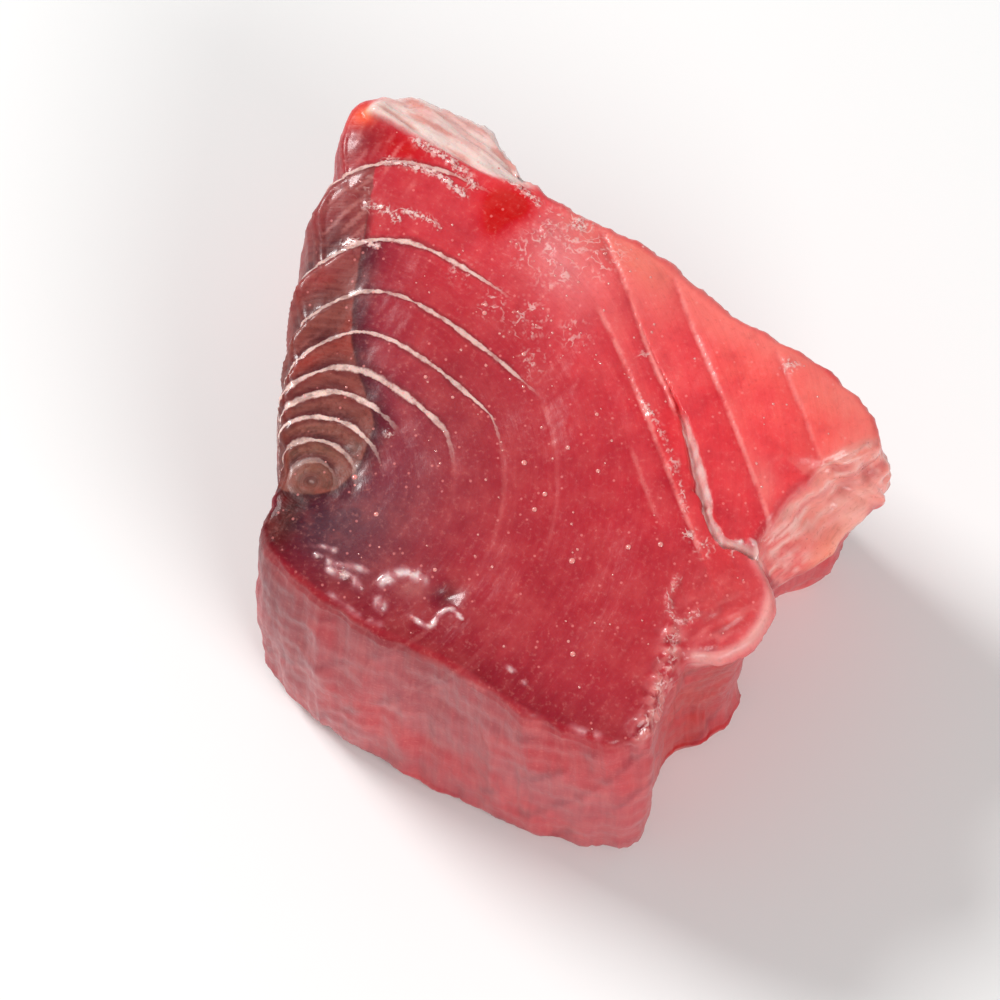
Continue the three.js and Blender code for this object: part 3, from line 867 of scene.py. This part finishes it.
def side_tones(tones, points, seen):
    """The sides: a soft pale veil, deeper red in places, the dark edges of the layers, a painted sheen under
    the top edge, painted light past the seams, and painted shade under the lobe and at the front left.
    """
    here, depth, scaled = seen.plan, seen.depth, seen.scaled * seen.side
    plain = seen.side - scaled
    broad = ripples(points * (1, 1, 0.7), 13, 34)
    # Painted sheen: a paler band just under the top edge, as a highlight would be.
    painted_sheen = bell(depth - 1.2, 1.6) * mottled(points, 6, 51, -0.6, 1.2)
    # Painted shade: the top of the front left side is darker, with no sheen.
    in_front = smoothstep(6, -4, here[:, 0]) * (here[:, 1] < -15)
    # Painted shade: deep red on the side under the overhanging lobe.
    shade_under_tongue = spot(here, 23.5, -12.0, 6.0) * seen.side * smoothstep(1, 4, depth)
    patchy = mottled(points, 6, 47, -0.8, 0.8) * smoothstep(0.8, 3, depth) * plain
    # Painted light: each layer is lighter just past its seam, as if it stood out in a small step.
    past = np.exp(-seen.past_seam / 1.2) * smoothstep(0, SIDE_BLEND, seen.past_seam)
    edge = bell(seen.seam, 0.6)
    return painted(
        tones,
        ((194, 84, 90), 0.7 * plain * smoothstep(2, 16, depth + 5 * broad)),
        ((206, 34, 46), 0.5 * plain * mottled(points, 11, 46, -0.1, 1.2)),
        ((150, 30, 42), 0.6 * scaled * smoothstep(-6, 0, seen.muscle)),
        # painted sheen under the top edge
        ((236, 126, 122), 0.5 * plain * painted_sheen * (1 - in_front)),
        # painted shade along the top of the front left side
        ((150, 30, 42), 0.6 * plain * in_front * smoothstep(4, 0.5, depth)),
        # painted shade under the lobe
        ((178, 4, 16), 0.85 * shade_under_tongue),
        # painted light past the seams
        ((228, 130, 128), 0.5 * past * patchy),
        ((142, 34, 50), 0.5 * edge * patchy),
        ((232, 158, 150), 0.5 * edge * scaled * (seen.muscle < 0)),
    )


def torn_tones(tones, points, seen):
    """The torn ledge with painted shade in its slits, the membrane at the torn corner, and the open crack
    with a painted wet highlight on its pale wall and painted shade in its depth.
    """
    here, ledge, beyond, film = seen.plan, seen.ledge, seen.beyond_ledge, seen.film
    fibres, torn = along_ledge(points, seen), along_film(points)
    low_end = ledge * smoothstep(5.5, 1.5, here[:, 1])
    by_edge = bell(beyond - 1.2, 1.3)
    pale = mottled(fibres, 0.9, 35, -0.5, 1.0)
    # Painted shade: the slits in the ledge are painted darker.
    slits = [((176, 62, 66), 0.75 * spot(here, x, y, radius * 0.8, 2.8, SLIT_TURN))
             for x, y, radius in LEDGE_SLITS]
    outer = smoothstep(3.0, 5.8, beyond) * smoothstep(10, 6, here[:, 1]) * (here[:, 0] > 20)
    outer *= (here[:, 1] > -1) * smoothstep(14, 8, seen.depth)
    strip = bell(seen.above_film - 0.95, 0.75)
    streaks = 0.75 * mottled(torn, 0.8, 37, -0.3, 1.1)
    return painted(
        tones,
        ((246, 134, 122), ledge),
        ((222, 76, 76), 0.75 * low_end),
        ((246, 192, 182), ledge * (pale * (0.25 + 0.5 * by_edge) + 0.15 * by_edge)),
        ((204, 84, 84), 0.6 * ledge * by_edge * mottled(fibres, 1.2, 36, 0.5, 1.6)),
        ((246, 186, 178), 0.8 * low_end * mottled(points, 1.2, 48, 0.7, 1.6)),
        # painted shade in the slits
        *slits,
        ((250, 178, 164), 0.75 * ledge * spot(here, 27.2, 9.6, 3.4)),
        ((252, 134, 88), 0.85 * outer),
        ((242, 200, 192), 0.95 * film),
        ((244, 222, 214), film * np.maximum(strip, streaks)),
        ((212, 124, 112), 0.5 * film * mottled(torn, 1.0, 38, 0.6, 1.5)),
        # The crack's sloping wall is pale membrane, with a painted wet highlight on it.
        ((250, 220, 214), seen.wall),
        ((232, 146, 142), 0.45 * seen.wall * mottled(points, 1.0, 49, -1.0, 1.0)),
        # painted shade in the depth of the crack
        ((150, 20, 34), 0.7 * smoothstep(0.4, 1.2, seen.groove) * (1 - seen.wall)),
    )


def muscle_tones(points, seen):
    """The dark brown muscle, redder towards the skin, and painted shade where a layer passes under the next.
    """
    place, number, side, muscle = seen.face_place, seen.number, seen.side, seen.muscle
    tones = np.tile(everyday(132, 66, 60), (len(points), 1))
    # Painted shade: each layer is darker in its inner part, where it passes under the next.
    inner = smoothstep(0.6, 0.1, seen.share) * smoothstep(0.3, 3, muscle)
    inner *= mix(1, smoothstep(0, SIDE_BLEND, seen.past_seam), side)
    along_arcs = np.column_stack([number * 9, seen.angle * 0.02])
    by_skin = smoothstep(1.5, 5, muscle) * (1 - side)
    slanted = np.column_stack([place @ (0.95, -0.3), place[:, 1] * 0.12])
    last_layer = smoothstep(7.7, 8.2, number) * (1 - side)
    return painted(
        tones,
        ((156, 60, 52), mottled(points, 6, 41, -0.2, 1.6)),
        ((134, 90, 74), 0.8 * spot(place, -18.6, -16.2, 4.6)),
        ((92, 58, 50), 0.6 * mottled(points, 1.6, 54, -0.2, 1.2) * (number < 3)),
        ((110, 36, 30), 0.6 * side * bell(seen.depth, 6)),
        ((96, 62, 52), 0.8 * spot(place, -16.9, -18.0, 0.9, 1.5, 30)),
        ((150, 60, 64), 0.8 * smoothstep(6.8, 8.2, number)),
        # painted shade where a layer passes under the next
        ((70, 30, 36), 0.72 * inner),
        ((196, 126, 116), 0.4 * by_skin * mottled(along_arcs, 1.3, 42, 0.4, 1.7)),
        ((206, 142, 134), 0.55 * last_layer * mottled(slanted, 0.9, 43, 0.5, 1.5)),
    )


ATTRIBUTE_KINDS = {1: ("FLOAT", "value"), 3: ("FLOAT_VECTOR", "vector"), 4: ("FLOAT_COLOR", "color")}


def store(mesh, name, values):
    kind, key = ATTRIBUTE_KINDS[values[0].size]
    attribute = mesh.attributes.new(name, kind, "POINT")
    attribute.data.foreach_set(key, values.astype(np.float32).ravel())


def store_tone(mesh, name, tones):
    store(mesh, name, np.column_stack([as_light(tones), np.ones(len(tones))]))


class Paint:
    """Short calls that make the nodes of one material. Sizes are in millimetres."""

    def __init__(self, name):
        self.material = bpy.data.materials.new(name)
        self.material.use_nodes = True
        self.nodes = self.material.node_tree.nodes
        self.links = self.material.node_tree.links
        self.shader = self.nodes["Principled BSDF"]
        coordinates = self.nodes.new("ShaderNodeTexCoord").outputs["Object"]
        self.place = self.scaled(coordinates, (1 / MM,) * 3)

    def feed(self, socket, source):
        if isinstance(source, bpy.types.NodeSocket):
            self.links.new(source, socket)
        else:
            socket.default_value = source

    def scaled(self, vector, factors):
        node = self.nodes.new("ShaderNodeVectorMath")
        node.operation = "MULTIPLY"
        self.feed(node.inputs[0], vector)
        node.inputs[1].default_value = factors
        return node.outputs[0]

    def attribute(self, name, output="Fac"):
        node = self.nodes.new("ShaderNodeAttribute")
        node.attribute_name = name
        return node.outputs[output]

    def math(self, operation, first, second=0.0, clamp=False):
        node = self.nodes.new("ShaderNodeMath")
        node.operation = operation
        node.use_clamp = clamp
        self.feed(node.inputs[0], first)
        self.feed(node.inputs[1], second)
        return node.outputs[0]

    def times(self, first, second, clamp=False):
        return self.math("MULTIPLY", first, second, clamp)

    def plus(self, first, second, clamp=False):
        return self.math("ADD", first, second, clamp)

    def range(self, value, low, high, to_low=0.0, to_high=1.0):
        node = self.nodes.new("ShaderNodeMapRange")
        node.interpolation_type = "SMOOTHSTEP"
        self.feed(node.inputs["Value"], value)
        for name, number in (("From Min", low), ("From Max", high), ("To Min", to_low), ("To Max", to_high)):
            node.inputs[name].default_value = number
        return node.outputs["Result"]

    def noise(self, vector, size, detail=2.0, roughness=0.5, distortion=0.0):
        node = self.nodes.new("ShaderNodeTexNoise")
        self.feed(node.inputs["Vector"], vector)
        node.inputs["Scale"].default_value = 1 / size
        node.inputs["Detail"].default_value = detail
        node.inputs["Roughness"].default_value = roughness
        node.inputs["Distortion"].default_value = distortion
        return node.outputs["Fac"]

    def wobble(self, size, detail=2.0, roughness=0.5, distortion=0.0):
        """Noise about zero."""
        return self.math("SUBTRACT", self.noise(self.place, size, detail, roughness, distortion), 0.5)

    def cells(self, size):
        node = self.nodes.new("ShaderNodeTexVoronoi")
        self.feed(node.inputs["Vector"], self.place)
        node.inputs["Scale"].default_value = 1 / size
        return node.outputs["Distance"]

    def mix(self, share, first, second):
        node = self.nodes.new("ShaderNodeMix")
        node.data_type = "RGBA"
        self.feed(node.inputs[0], share)
        self.feed(node.inputs[6], first)
        self.feed(node.inputs[7], second)
        return node.outputs[2]

    def tinted(self, colour, tone, share):
        return self.mix(share, colour, light_of(*tone))

    def bump(self, height, depth):
        node = self.nodes.new("ShaderNodeBump")
        node.inputs["Distance"].default_value = depth * MM
        node.inputs["Strength"].default_value = 1.0
        self.feed(node.inputs["Height"], height)
        self.feed(self.shader.inputs["Normal"], node.outputs["Normal"])

    def set(self, **values):
        for name, value in values.items():
            self.feed(self.shader.inputs[name.replace("_", " ")], value)


def light_of(red, green, blue):
    return (*as_light(everyday(red, green, blue)), 1.0)


def flesh_lines(paint):
    """Fine lines: across the layers on the face, down the sides, and along what is torn."""
    across = paint.scaled(paint.attribute("across_layers", "Vector"), (1.0, 0.16, 0.5))
    down = paint.scaled(paint.attribute("down_side", "Vector"), (1.0, 0.12, 1.0))
    grain = paint.noise(across, 0.55, 3, 0.6)
    streaks = paint.noise(down, 0.55, 4, 0.55, 0.25)
    fibres = paint.noise(paint.attribute("along_tear", "Vector"), 0.4, 4, 0.6)
    return paint.mix(paint.attribute("torn"), paint.mix(paint.attribute("side"), grain, streaks), fibres)


def flesh_colour(paint, fine, lines):
    """The tone of the flesh, softly mottled, with fine pale and dark lines."""
    broad = paint.noise(paint.place, 2.6, 3, 0.55)
    streaky = paint.plus(paint.attribute("side"), paint.attribute("torn"), True)
    strength = paint.range(streaky, 0.0, 1.0, 0.2, 0.55)
    pale_line = paint.times(paint.range(lines, 0.45, 0.75, 0.0, 0.22), strength)
    dark_line = paint.times(paint.range(lines, 0.5, 0.28, 0.0, 0.3), strength)
    colour = paint.attribute("flesh_tone", "Color")
    colour = paint.tinted(colour, (250, 128, 120), paint.range(broad, 0.4, 0.75, 0.0, 0.12))
    colour = paint.tinted(colour, (150, 24, 44), paint.range(broad, 0.5, 0.25, 0.0, 0.14))
    colour = paint.tinted(colour, (245, 140, 134), pale_line)
    colour = paint.tinted(colour, (128, 20, 36), dark_line)
    colour = paint.tinted(colour, (250, 160, 150), paint.range(fine, 0.52, 0.8, 0.0, 0.2))
    return paint.tinted(colour, (140, 24, 40), paint.range(fine, 0.46, 0.2, 0.0, 0.2))


def with_muscle(paint, colour, fine, lines):
    """The dark muscle over the flesh, with a darker rim of painted shade beside it."""
    muscle = paint.plus(paint.attribute("muscle"), paint.times(paint.wobble(1.5, 3), 0.5))
    brown = paint.attribute("muscle_tone", "Color")
    brown = paint.tinted(brown, (176, 104, 94), paint.range(lines, 0.35, 0.7, 0.0, 0.3))
    brown = paint.tinted(brown, (76, 32, 36), paint.range(fine, 0.5, 0.3, 0.0, 0.3))
    colour = paint.mix(paint.range(muscle, -0.1, 0.12), colour, brown)
    # The rim is painted shade: darker flesh just outside the dark muscle.
    rim = paint.times(paint.range(muscle, -0.75, -0.05), paint.range(muscle, 0.25, 0.0))
    rim = paint.times(rim, paint.attribute("muscle_rim"))
    return paint.tinted(colour, (66, 24, 32), paint.times(rim, 0.6))


def with_membranes(paint, colour):
    """Faint seams, and the white membranes with the shade beside them. Also where the white is."""
    to_membrane = paint.math("PINGPONG", paint.attribute("layer"), 0.5)
    to_membrane = paint.times(to_membrane, paint.attribute("layer_thickness"))
    to_membrane = paint.plus(to_membrane, paint.times(paint.wobble(0.7, 3), 0.45))
    seam = paint.times(paint.range(to_membrane, 0.4, 0.04), paint.attribute("faint"))
    seam = paint.times(seam, paint.range(paint.noise(paint.place, 2.4, 2), 0.35, 0.6, 0.25, 1.0))
    colour = paint.tinted(colour, (246, 150, 144), paint.times(seam, 0.6))
    white = paint.attribute("white")
    to_white = paint.math("DIVIDE", to_membrane, paint.attribute("white_reach"))
    beside = paint.times(paint.range(to_white, 2.9, 1.2, 0.0, 0.5), white)
    colour = paint.tinted(colour, (96, 26, 38), beside)
    beaded = paint.range(paint.noise(paint.place, 1.1, 3, 0.6), 0.3, 0.6, 0.45, 1.0)
    line = paint.times(paint.times(paint.range(to_white, 1.2, 0.5), white), beaded, True)
    return paint.tinted(colour, (246, 208, 198), line), line


def with_froth(paint, colour):
    """Small pale specks, and froth as foam, bubbles and thin curly lines, with painted shade between the
    bubbles and painted glints on them. Also where the foam is.
    """
    on_top = paint.math("SUBTRACT", 1.0, paint.attribute("side"), True)
    specks = paint.range(paint.cells(1.3), 0.14, 0.06, 0.0, 0.45)
    colour = paint.tinted(colour, (250, 150, 146), paint.times(specks, on_top))
    froth = paint.attribute("froth")
    curly = paint.range(paint.math("ABSOLUTE", paint.wobble(1.25, 2.0, 0.5, 0.3)), 0.05, 0.012)
    curly = paint.times(curly, paint.range(paint.noise(paint.place, 0.9, 2), 0.4, 0.62))
    curly = paint.times(curly, paint.range(froth, 0.02, 0.3, 0.0, 0.62))
    foam = paint.plus(paint.noise(paint.place, 0.4, 3, 0.6), paint.times(froth, 0.22))
    foam = paint.times(paint.range(foam, 0.58, 0.74), paint.range(froth, 0.3, 0.65))
    bubbles = paint.times(paint.range(paint.cells(0.62), 0.34, 0.14), froth)
    foam = paint.math("MAXIMUM", foam, paint.times(bubbles, 0.8))
    foam = paint.times(paint.math("MAXIMUM", foam, curly), 0.92, True)
    # Painted shade: darker red between the bubbles of the froth.
    colour = paint.tinted(colour, (170, 60, 70), paint.range(froth, 0.2, 0.9, 0.0, 0.3))
    # Pale froth with painted glints.
    return paint.tinted(colour, (248, 208, 202), foam), foam


def flesh_material():
    """Wet raw flesh: its tones, the dark muscle, the membranes, the froth and the grain."""
    paint = Paint("raw_tuna_flesh")
    fine = paint.noise(paint.place, 0.45, 4, 0.6)
    lines = flesh_lines(paint)
    colour = flesh_colour(paint, fine, lines)
    colour = with_muscle(paint, colour, fine, lines)
    colour, membranes = with_membranes(paint, colour)
    colour, foam = with_froth(paint, colour)
    wet = paint.attribute("wet")
    rough = paint.math("SUBTRACT", paint.range(fine, 0.3, 0.7, 0.36, 0.5), paint.times(wet, 0.16))
    paint.set(Base_Color=colour, Roughness=rough)
    paint.set(Coat_Weight=paint.range(wet, 0.0, 1.0, 0.1, 0.9), Coat_Roughness=0.12)
    paint.set(Subsurface_Weight=0.25, Subsurface_Radius=(1.0, 0.25, 0.14), Subsurface_Scale=1.3 * MM)
    paint.set(IOR=1.38, Specular_IOR_Level=paint.attribute("gloss"))
    height = paint.times(fine, 0.35)
    for pattern, share in ((lines, 0.5), (foam, 0.6), (membranes, 0.4)):
        height = paint.plus(height, paint.times(pattern, share))
    paint.bump(height, 0.09)
    return paint.material


def moisture_material():
    paint = Paint("moisture")
    paint.set(Base_Color=light_of(242, 150, 144), Roughness=0.12, Coat_Weight=1.0, Coat_Roughness=0.04)
    paint.set(Subsurface_Weight=0.3, Subsurface_Radius=(1.0, 0.4, 0.3), Subsurface_Scale=0.4 * MM, IOR=1.36)
    return paint.material


BEAD_HEIGHT = 0.6  # shares of its radius
BEAD_SUNK = 0.14
BEAD_RINGS = 4
BEAD_SIDES = 9
BEAD_TRIES = 4200
BEAD_LEVEL = 0.8  # the least upward part of the normal where a droplet stays
BEAD_LOWEST = 20
BEADS = [
    (-12.3, 4.5, 0.26), (-12.7, 5.3, 0.24), (-7.0, 3.2, 0.24), (2.2, 1.7, 0.2), (1.7, -2.6, 0.24),
    (5.3, -2.9, 0.22), (-1.0, -6.0, 0.3), (2.3, -7.5, 0.26), (2.3, -9.3, 0.26), (14.2, -5.8, 0.28),
    (11.8, -7.7, 0.28), (8.0, -11.6, 0.32), (13.0, -19.2, 0.28), (-10.0, -17.8, 0.26), (-13.8, -15.7, 0.3),
    (-2.4, -19.3, 0.22), (2.0, -16.2, 0.16), (12.0, -18.4, 0.16), (-13.5, -3.9, 0.2), (-10.3, -4.1, 0.18),
    (-9.4, 0.3, 0.16), (6.0, -8.6, 0.14),
]


def bead_places():
    """Where droplets sit: a few large ones, and fine ones scattered most over the froth."""
    draw = np.random.default_rng(17)
    loose = draw.uniform(CORNERS[:, :2].min(0), CORNERS[:, :2].max(0), (BEAD_TRIES, 2))
    froth = froth_at(loose)
    chance = 0.03 + 0.55 * froth + 0.07 * spot(loose, -6, 10, 7, 1.6, -25)
    kept = draw.uniform(size=len(loose)) < chance
    sizes = draw.uniform(0.07, 0.15, len(loose)) + 0.1 * froth * draw.uniform(size=len(loose))
    return [*BEADS, *np.column_stack([loose, sizes])[kept].tolist()]


def bead_points(foot, normal, radius):
    """Rings of points from a droplet's foot upwards, then its top and the middle of its underside."""
    tangent = normal.orthogonal().normalized()
    other = normal.cross(tangent)
    points = []
    for turn in np.linspace(0, math.pi / 2, BEAD_RINGS, endpoint=False):
        lift = radius * (BEAD_HEIGHT * math.sin(turn) - BEAD_SUNK)
        for angle in np.linspace(0, 2 * math.pi, BEAD_SIDES, endpoint=False):
            across = tangent * math.cos(angle) + other * math.sin(angle)
            points.append(foot + across * radius * math.cos(turn) + normal * lift)
    return [*points, foot + normal * radius * (BEAD_HEIGHT - BEAD_SUNK), foot - normal * radius * BEAD_SUNK]


def bead_faces(first):
    """The faces of a droplet whose points start at number first."""
    top = first + BEAD_RINGS * BEAD_SIDES
    last_ring = top - BEAD_SIDES
    faces = []
    for k in range(BEAD_SIDES):
        after = (k + 1) % BEAD_SIDES
        for ring in range(first, last_ring, BEAD_SIDES):
            faces.append((ring + k, ring + after, ring + after + BEAD_SIDES, ring + k + BEAD_SIDES))
        faces.append((last_ring + k, last_ring + after, top))
        faces.append((first + after, first + k, top + 1))
    return faces


def moisture(surface):
    """Droplets lying on the face, each a low dome that reaches a little into the flesh."""
    tree = BVHTree.FromObject(surface, bpy.context.evaluated_depsgraph_get())
    points, faces = [], []
    for x, y, radius in bead_places():
        above = Vector(((x - MIDDLE[0]) * MM, (y - MIDDLE[1]) * MM, 1.0))
        hit, normal, _, _ = tree.ray_cast(above, Vector((0, 0, -1)))
        if hit is not None and normal.z >= BEAD_LEVEL and hit.z >= BEAD_LOWEST * MM:
            faces += bead_faces(len(points))
            points += bead_points(hit, normal, radius * MM)
    return build_object("moisture_beads", np.array(points) / MM + MIDDLE, faces)


PUDDLE = (-8, -22, 5, 1.8)
TURN_WIDTH = 14  # mm for each radian, so that the grain is about as wide everywhere
DULL_SPOTS = [(1.0, -19.6, -22.2, 3.4, 1.3, -60), (0.7, -17.0, 14.8, 2.2)]


def store_looks(mesh, form, points, seen):
    """Everything that the material of the flesh reads, at each point."""
    wet = np.maximum.reduce([
        seen.froth, seen.wall, 0.7 * seen.film, 0.5 * seen.ledge, seen.curls,
        0.6 * seen.white * bell(seen.seam, 0.4),
    ])
    wet = np.maximum(0.25 + 0.75 * wet, 0.8 * spot(seen.plan, *PUDDLE))
    dull = sum(strength * spot(seen.plan, *place) for strength, *place in DULL_SPOTS)
    dull = np.clip(dull + 0.6 * seen.scaled * seen.side, 0, 1)
    turn = np.radians(seen.angle) * TURN_WIDTH * smoothstep(1, 6, seen.radius)
    on_film = (seen.film > 0.3)[:, None]
    looks = {
        "layer": seen.number,
        "layer_thickness": seen.thickness,
        "muscle": seen.muscle,
        "muscle_rim": smoothstep(MUSCLE_LAYERS - 0.3, MUSCLE_LAYERS - 0.9, seen.number),
        "white": seen.white,
        "white_reach": seen.white_reach,
        "faint": seen.faint,
        "froth": seen.froth,
        "wet": wet * (1 - dull),
        "gloss": 0.5 * (1 - 0.8 * dull),
        "side": seen.side,
        "torn": np.maximum(seen.film, seen.ledge),
        "across_layers": np.column_stack([seen.radius, turn, np.zeros(len(form))]),
        "down_side": np.column_stack([seen.round_the_rim, points[:, 2], seen.side]),
        "along_tear": np.where(on_film, along_film(points), along_ledge(points, seen)),
    }
    for name, values in looks.items():
        store(mesh, name, values)
    tones = detail_tones(face_tones(form, seen), form, seen)
    tones = torn_tones(side_tones(tones, form, seen), form, seen)
    store_tone(mesh, "flesh_tone", tones)
    store_tone(mesh, "muscle_tone", muscle_tones(form, seen))


def tuna_loin():
    form, faces, kind = chunk_mesh()
    seen = survey(form, kind)
    points = form + vertex_normals(form, faces) * relief(form, seen)[:, None]
    cut = np.where(seen.groove > 0, seen.level - seen.groove, np.inf)
    points[:, 2] = np.clip(np.minimum(points[:, 2], cut), 0, None)
    loin = build_object("tuna_loin", points, faces)
    store_looks(loin.data, form, points, seen)
    return loin


# The studio, in metres and degrees.

FLOOR_REACH = 3
FLOOR_TONE = (246, 246, 245)
SKY_STRENGTH = 0.28
LIT_PLACE = (0, 0, 0.02)
KEY_LIGHT = ((-0.55, 0.05, 0.50), 0.25, 4.5)  # place, size, power
FILL_LIGHT = ((0.50, -0.25, 0.40), 0.40, 2.6)
CAMERA_AZIMUTH = 33
CAMERA_ELEVATION = 65
CAMERA_DISTANCE = 1.0
CAMERA_TARGET = (-0.001, -0.001, 0.016)
CAMERA_LENS = 375


def aim(made, place, target):
    """Stands a light or a camera at a place and turns it to a target."""
    made.location = place
    made.rotation_euler = (Vector(target) - Vector(place)).to_track_quat("-Z", "Y").to_euler()


def area_light(name, place, size, power):
    light = bpy.data.lights.new(name, "AREA")
    light.shape = "DISK"
    light.size = size
    light.energy = power
    aim(in_scene(name, light), place, LIT_PLACE)


def studio():
    """A pale floor, soft light from the back left, and a long lens at the photographed angle."""
    scene = bpy.context.scene
    scene.view_settings.view_transform = "Standard"
    corners = [(x * FLOOR_REACH, y * FLOOR_REACH, 0) for x, y in ((-1, -1), (1, -1), (1, 1), (-1, 1))]
    floor_mesh = bpy.data.meshes.new("floor")
    floor_mesh.from_pydata(corners, [], [(0, 1, 2, 3)])
    in_scene("floor", floor_mesh)
    paper = Paint("floor_paper")
    paper.set(Base_Color=light_of(*FLOOR_TONE), Roughness=0.8)
    floor_mesh.materials.append(paper.material)

    world = bpy.data.worlds.new("studio")
    world.use_nodes = True
    sky = world.node_tree.nodes["Background"]
    sky.inputs["Color"].default_value = (1, 1, 1, 1)
    sky.inputs["Strength"].default_value = SKY_STRENGTH
    scene.world = world
    area_light("key", *KEY_LIGHT)
    area_light("fill", *FILL_LIGHT)

    azimuth, elevation = math.radians(CAMERA_AZIMUTH), math.radians(CAMERA_ELEVATION)
    level = math.cos(elevation)
    back = Vector((math.sin(azimuth) * level, -math.cos(azimuth) * level, math.sin(elevation)))
    camera = bpy.data.cameras.new("camera")
    camera.lens = CAMERA_LENS
    camera.clip_start = 0.01
    scene.camera = in_scene("camera", camera)
    aim(scene.camera, Vector(CAMERA_TARGET) + back * CAMERA_DISTANCE, CAMERA_TARGET)


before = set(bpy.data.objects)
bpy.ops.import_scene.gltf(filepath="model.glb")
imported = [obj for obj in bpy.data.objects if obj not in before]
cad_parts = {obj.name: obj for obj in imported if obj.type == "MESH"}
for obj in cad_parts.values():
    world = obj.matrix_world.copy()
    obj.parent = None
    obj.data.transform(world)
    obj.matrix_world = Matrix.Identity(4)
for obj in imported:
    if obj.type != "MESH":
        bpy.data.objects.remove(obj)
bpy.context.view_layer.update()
studio()

loin = tuna_loin()
loin.data.materials.append(flesh_material())
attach(loin, "root")
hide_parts("tuna_chunk")

beads = moisture(loin)
beads.data.materials.append(moisture_material())
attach(beads, "root")
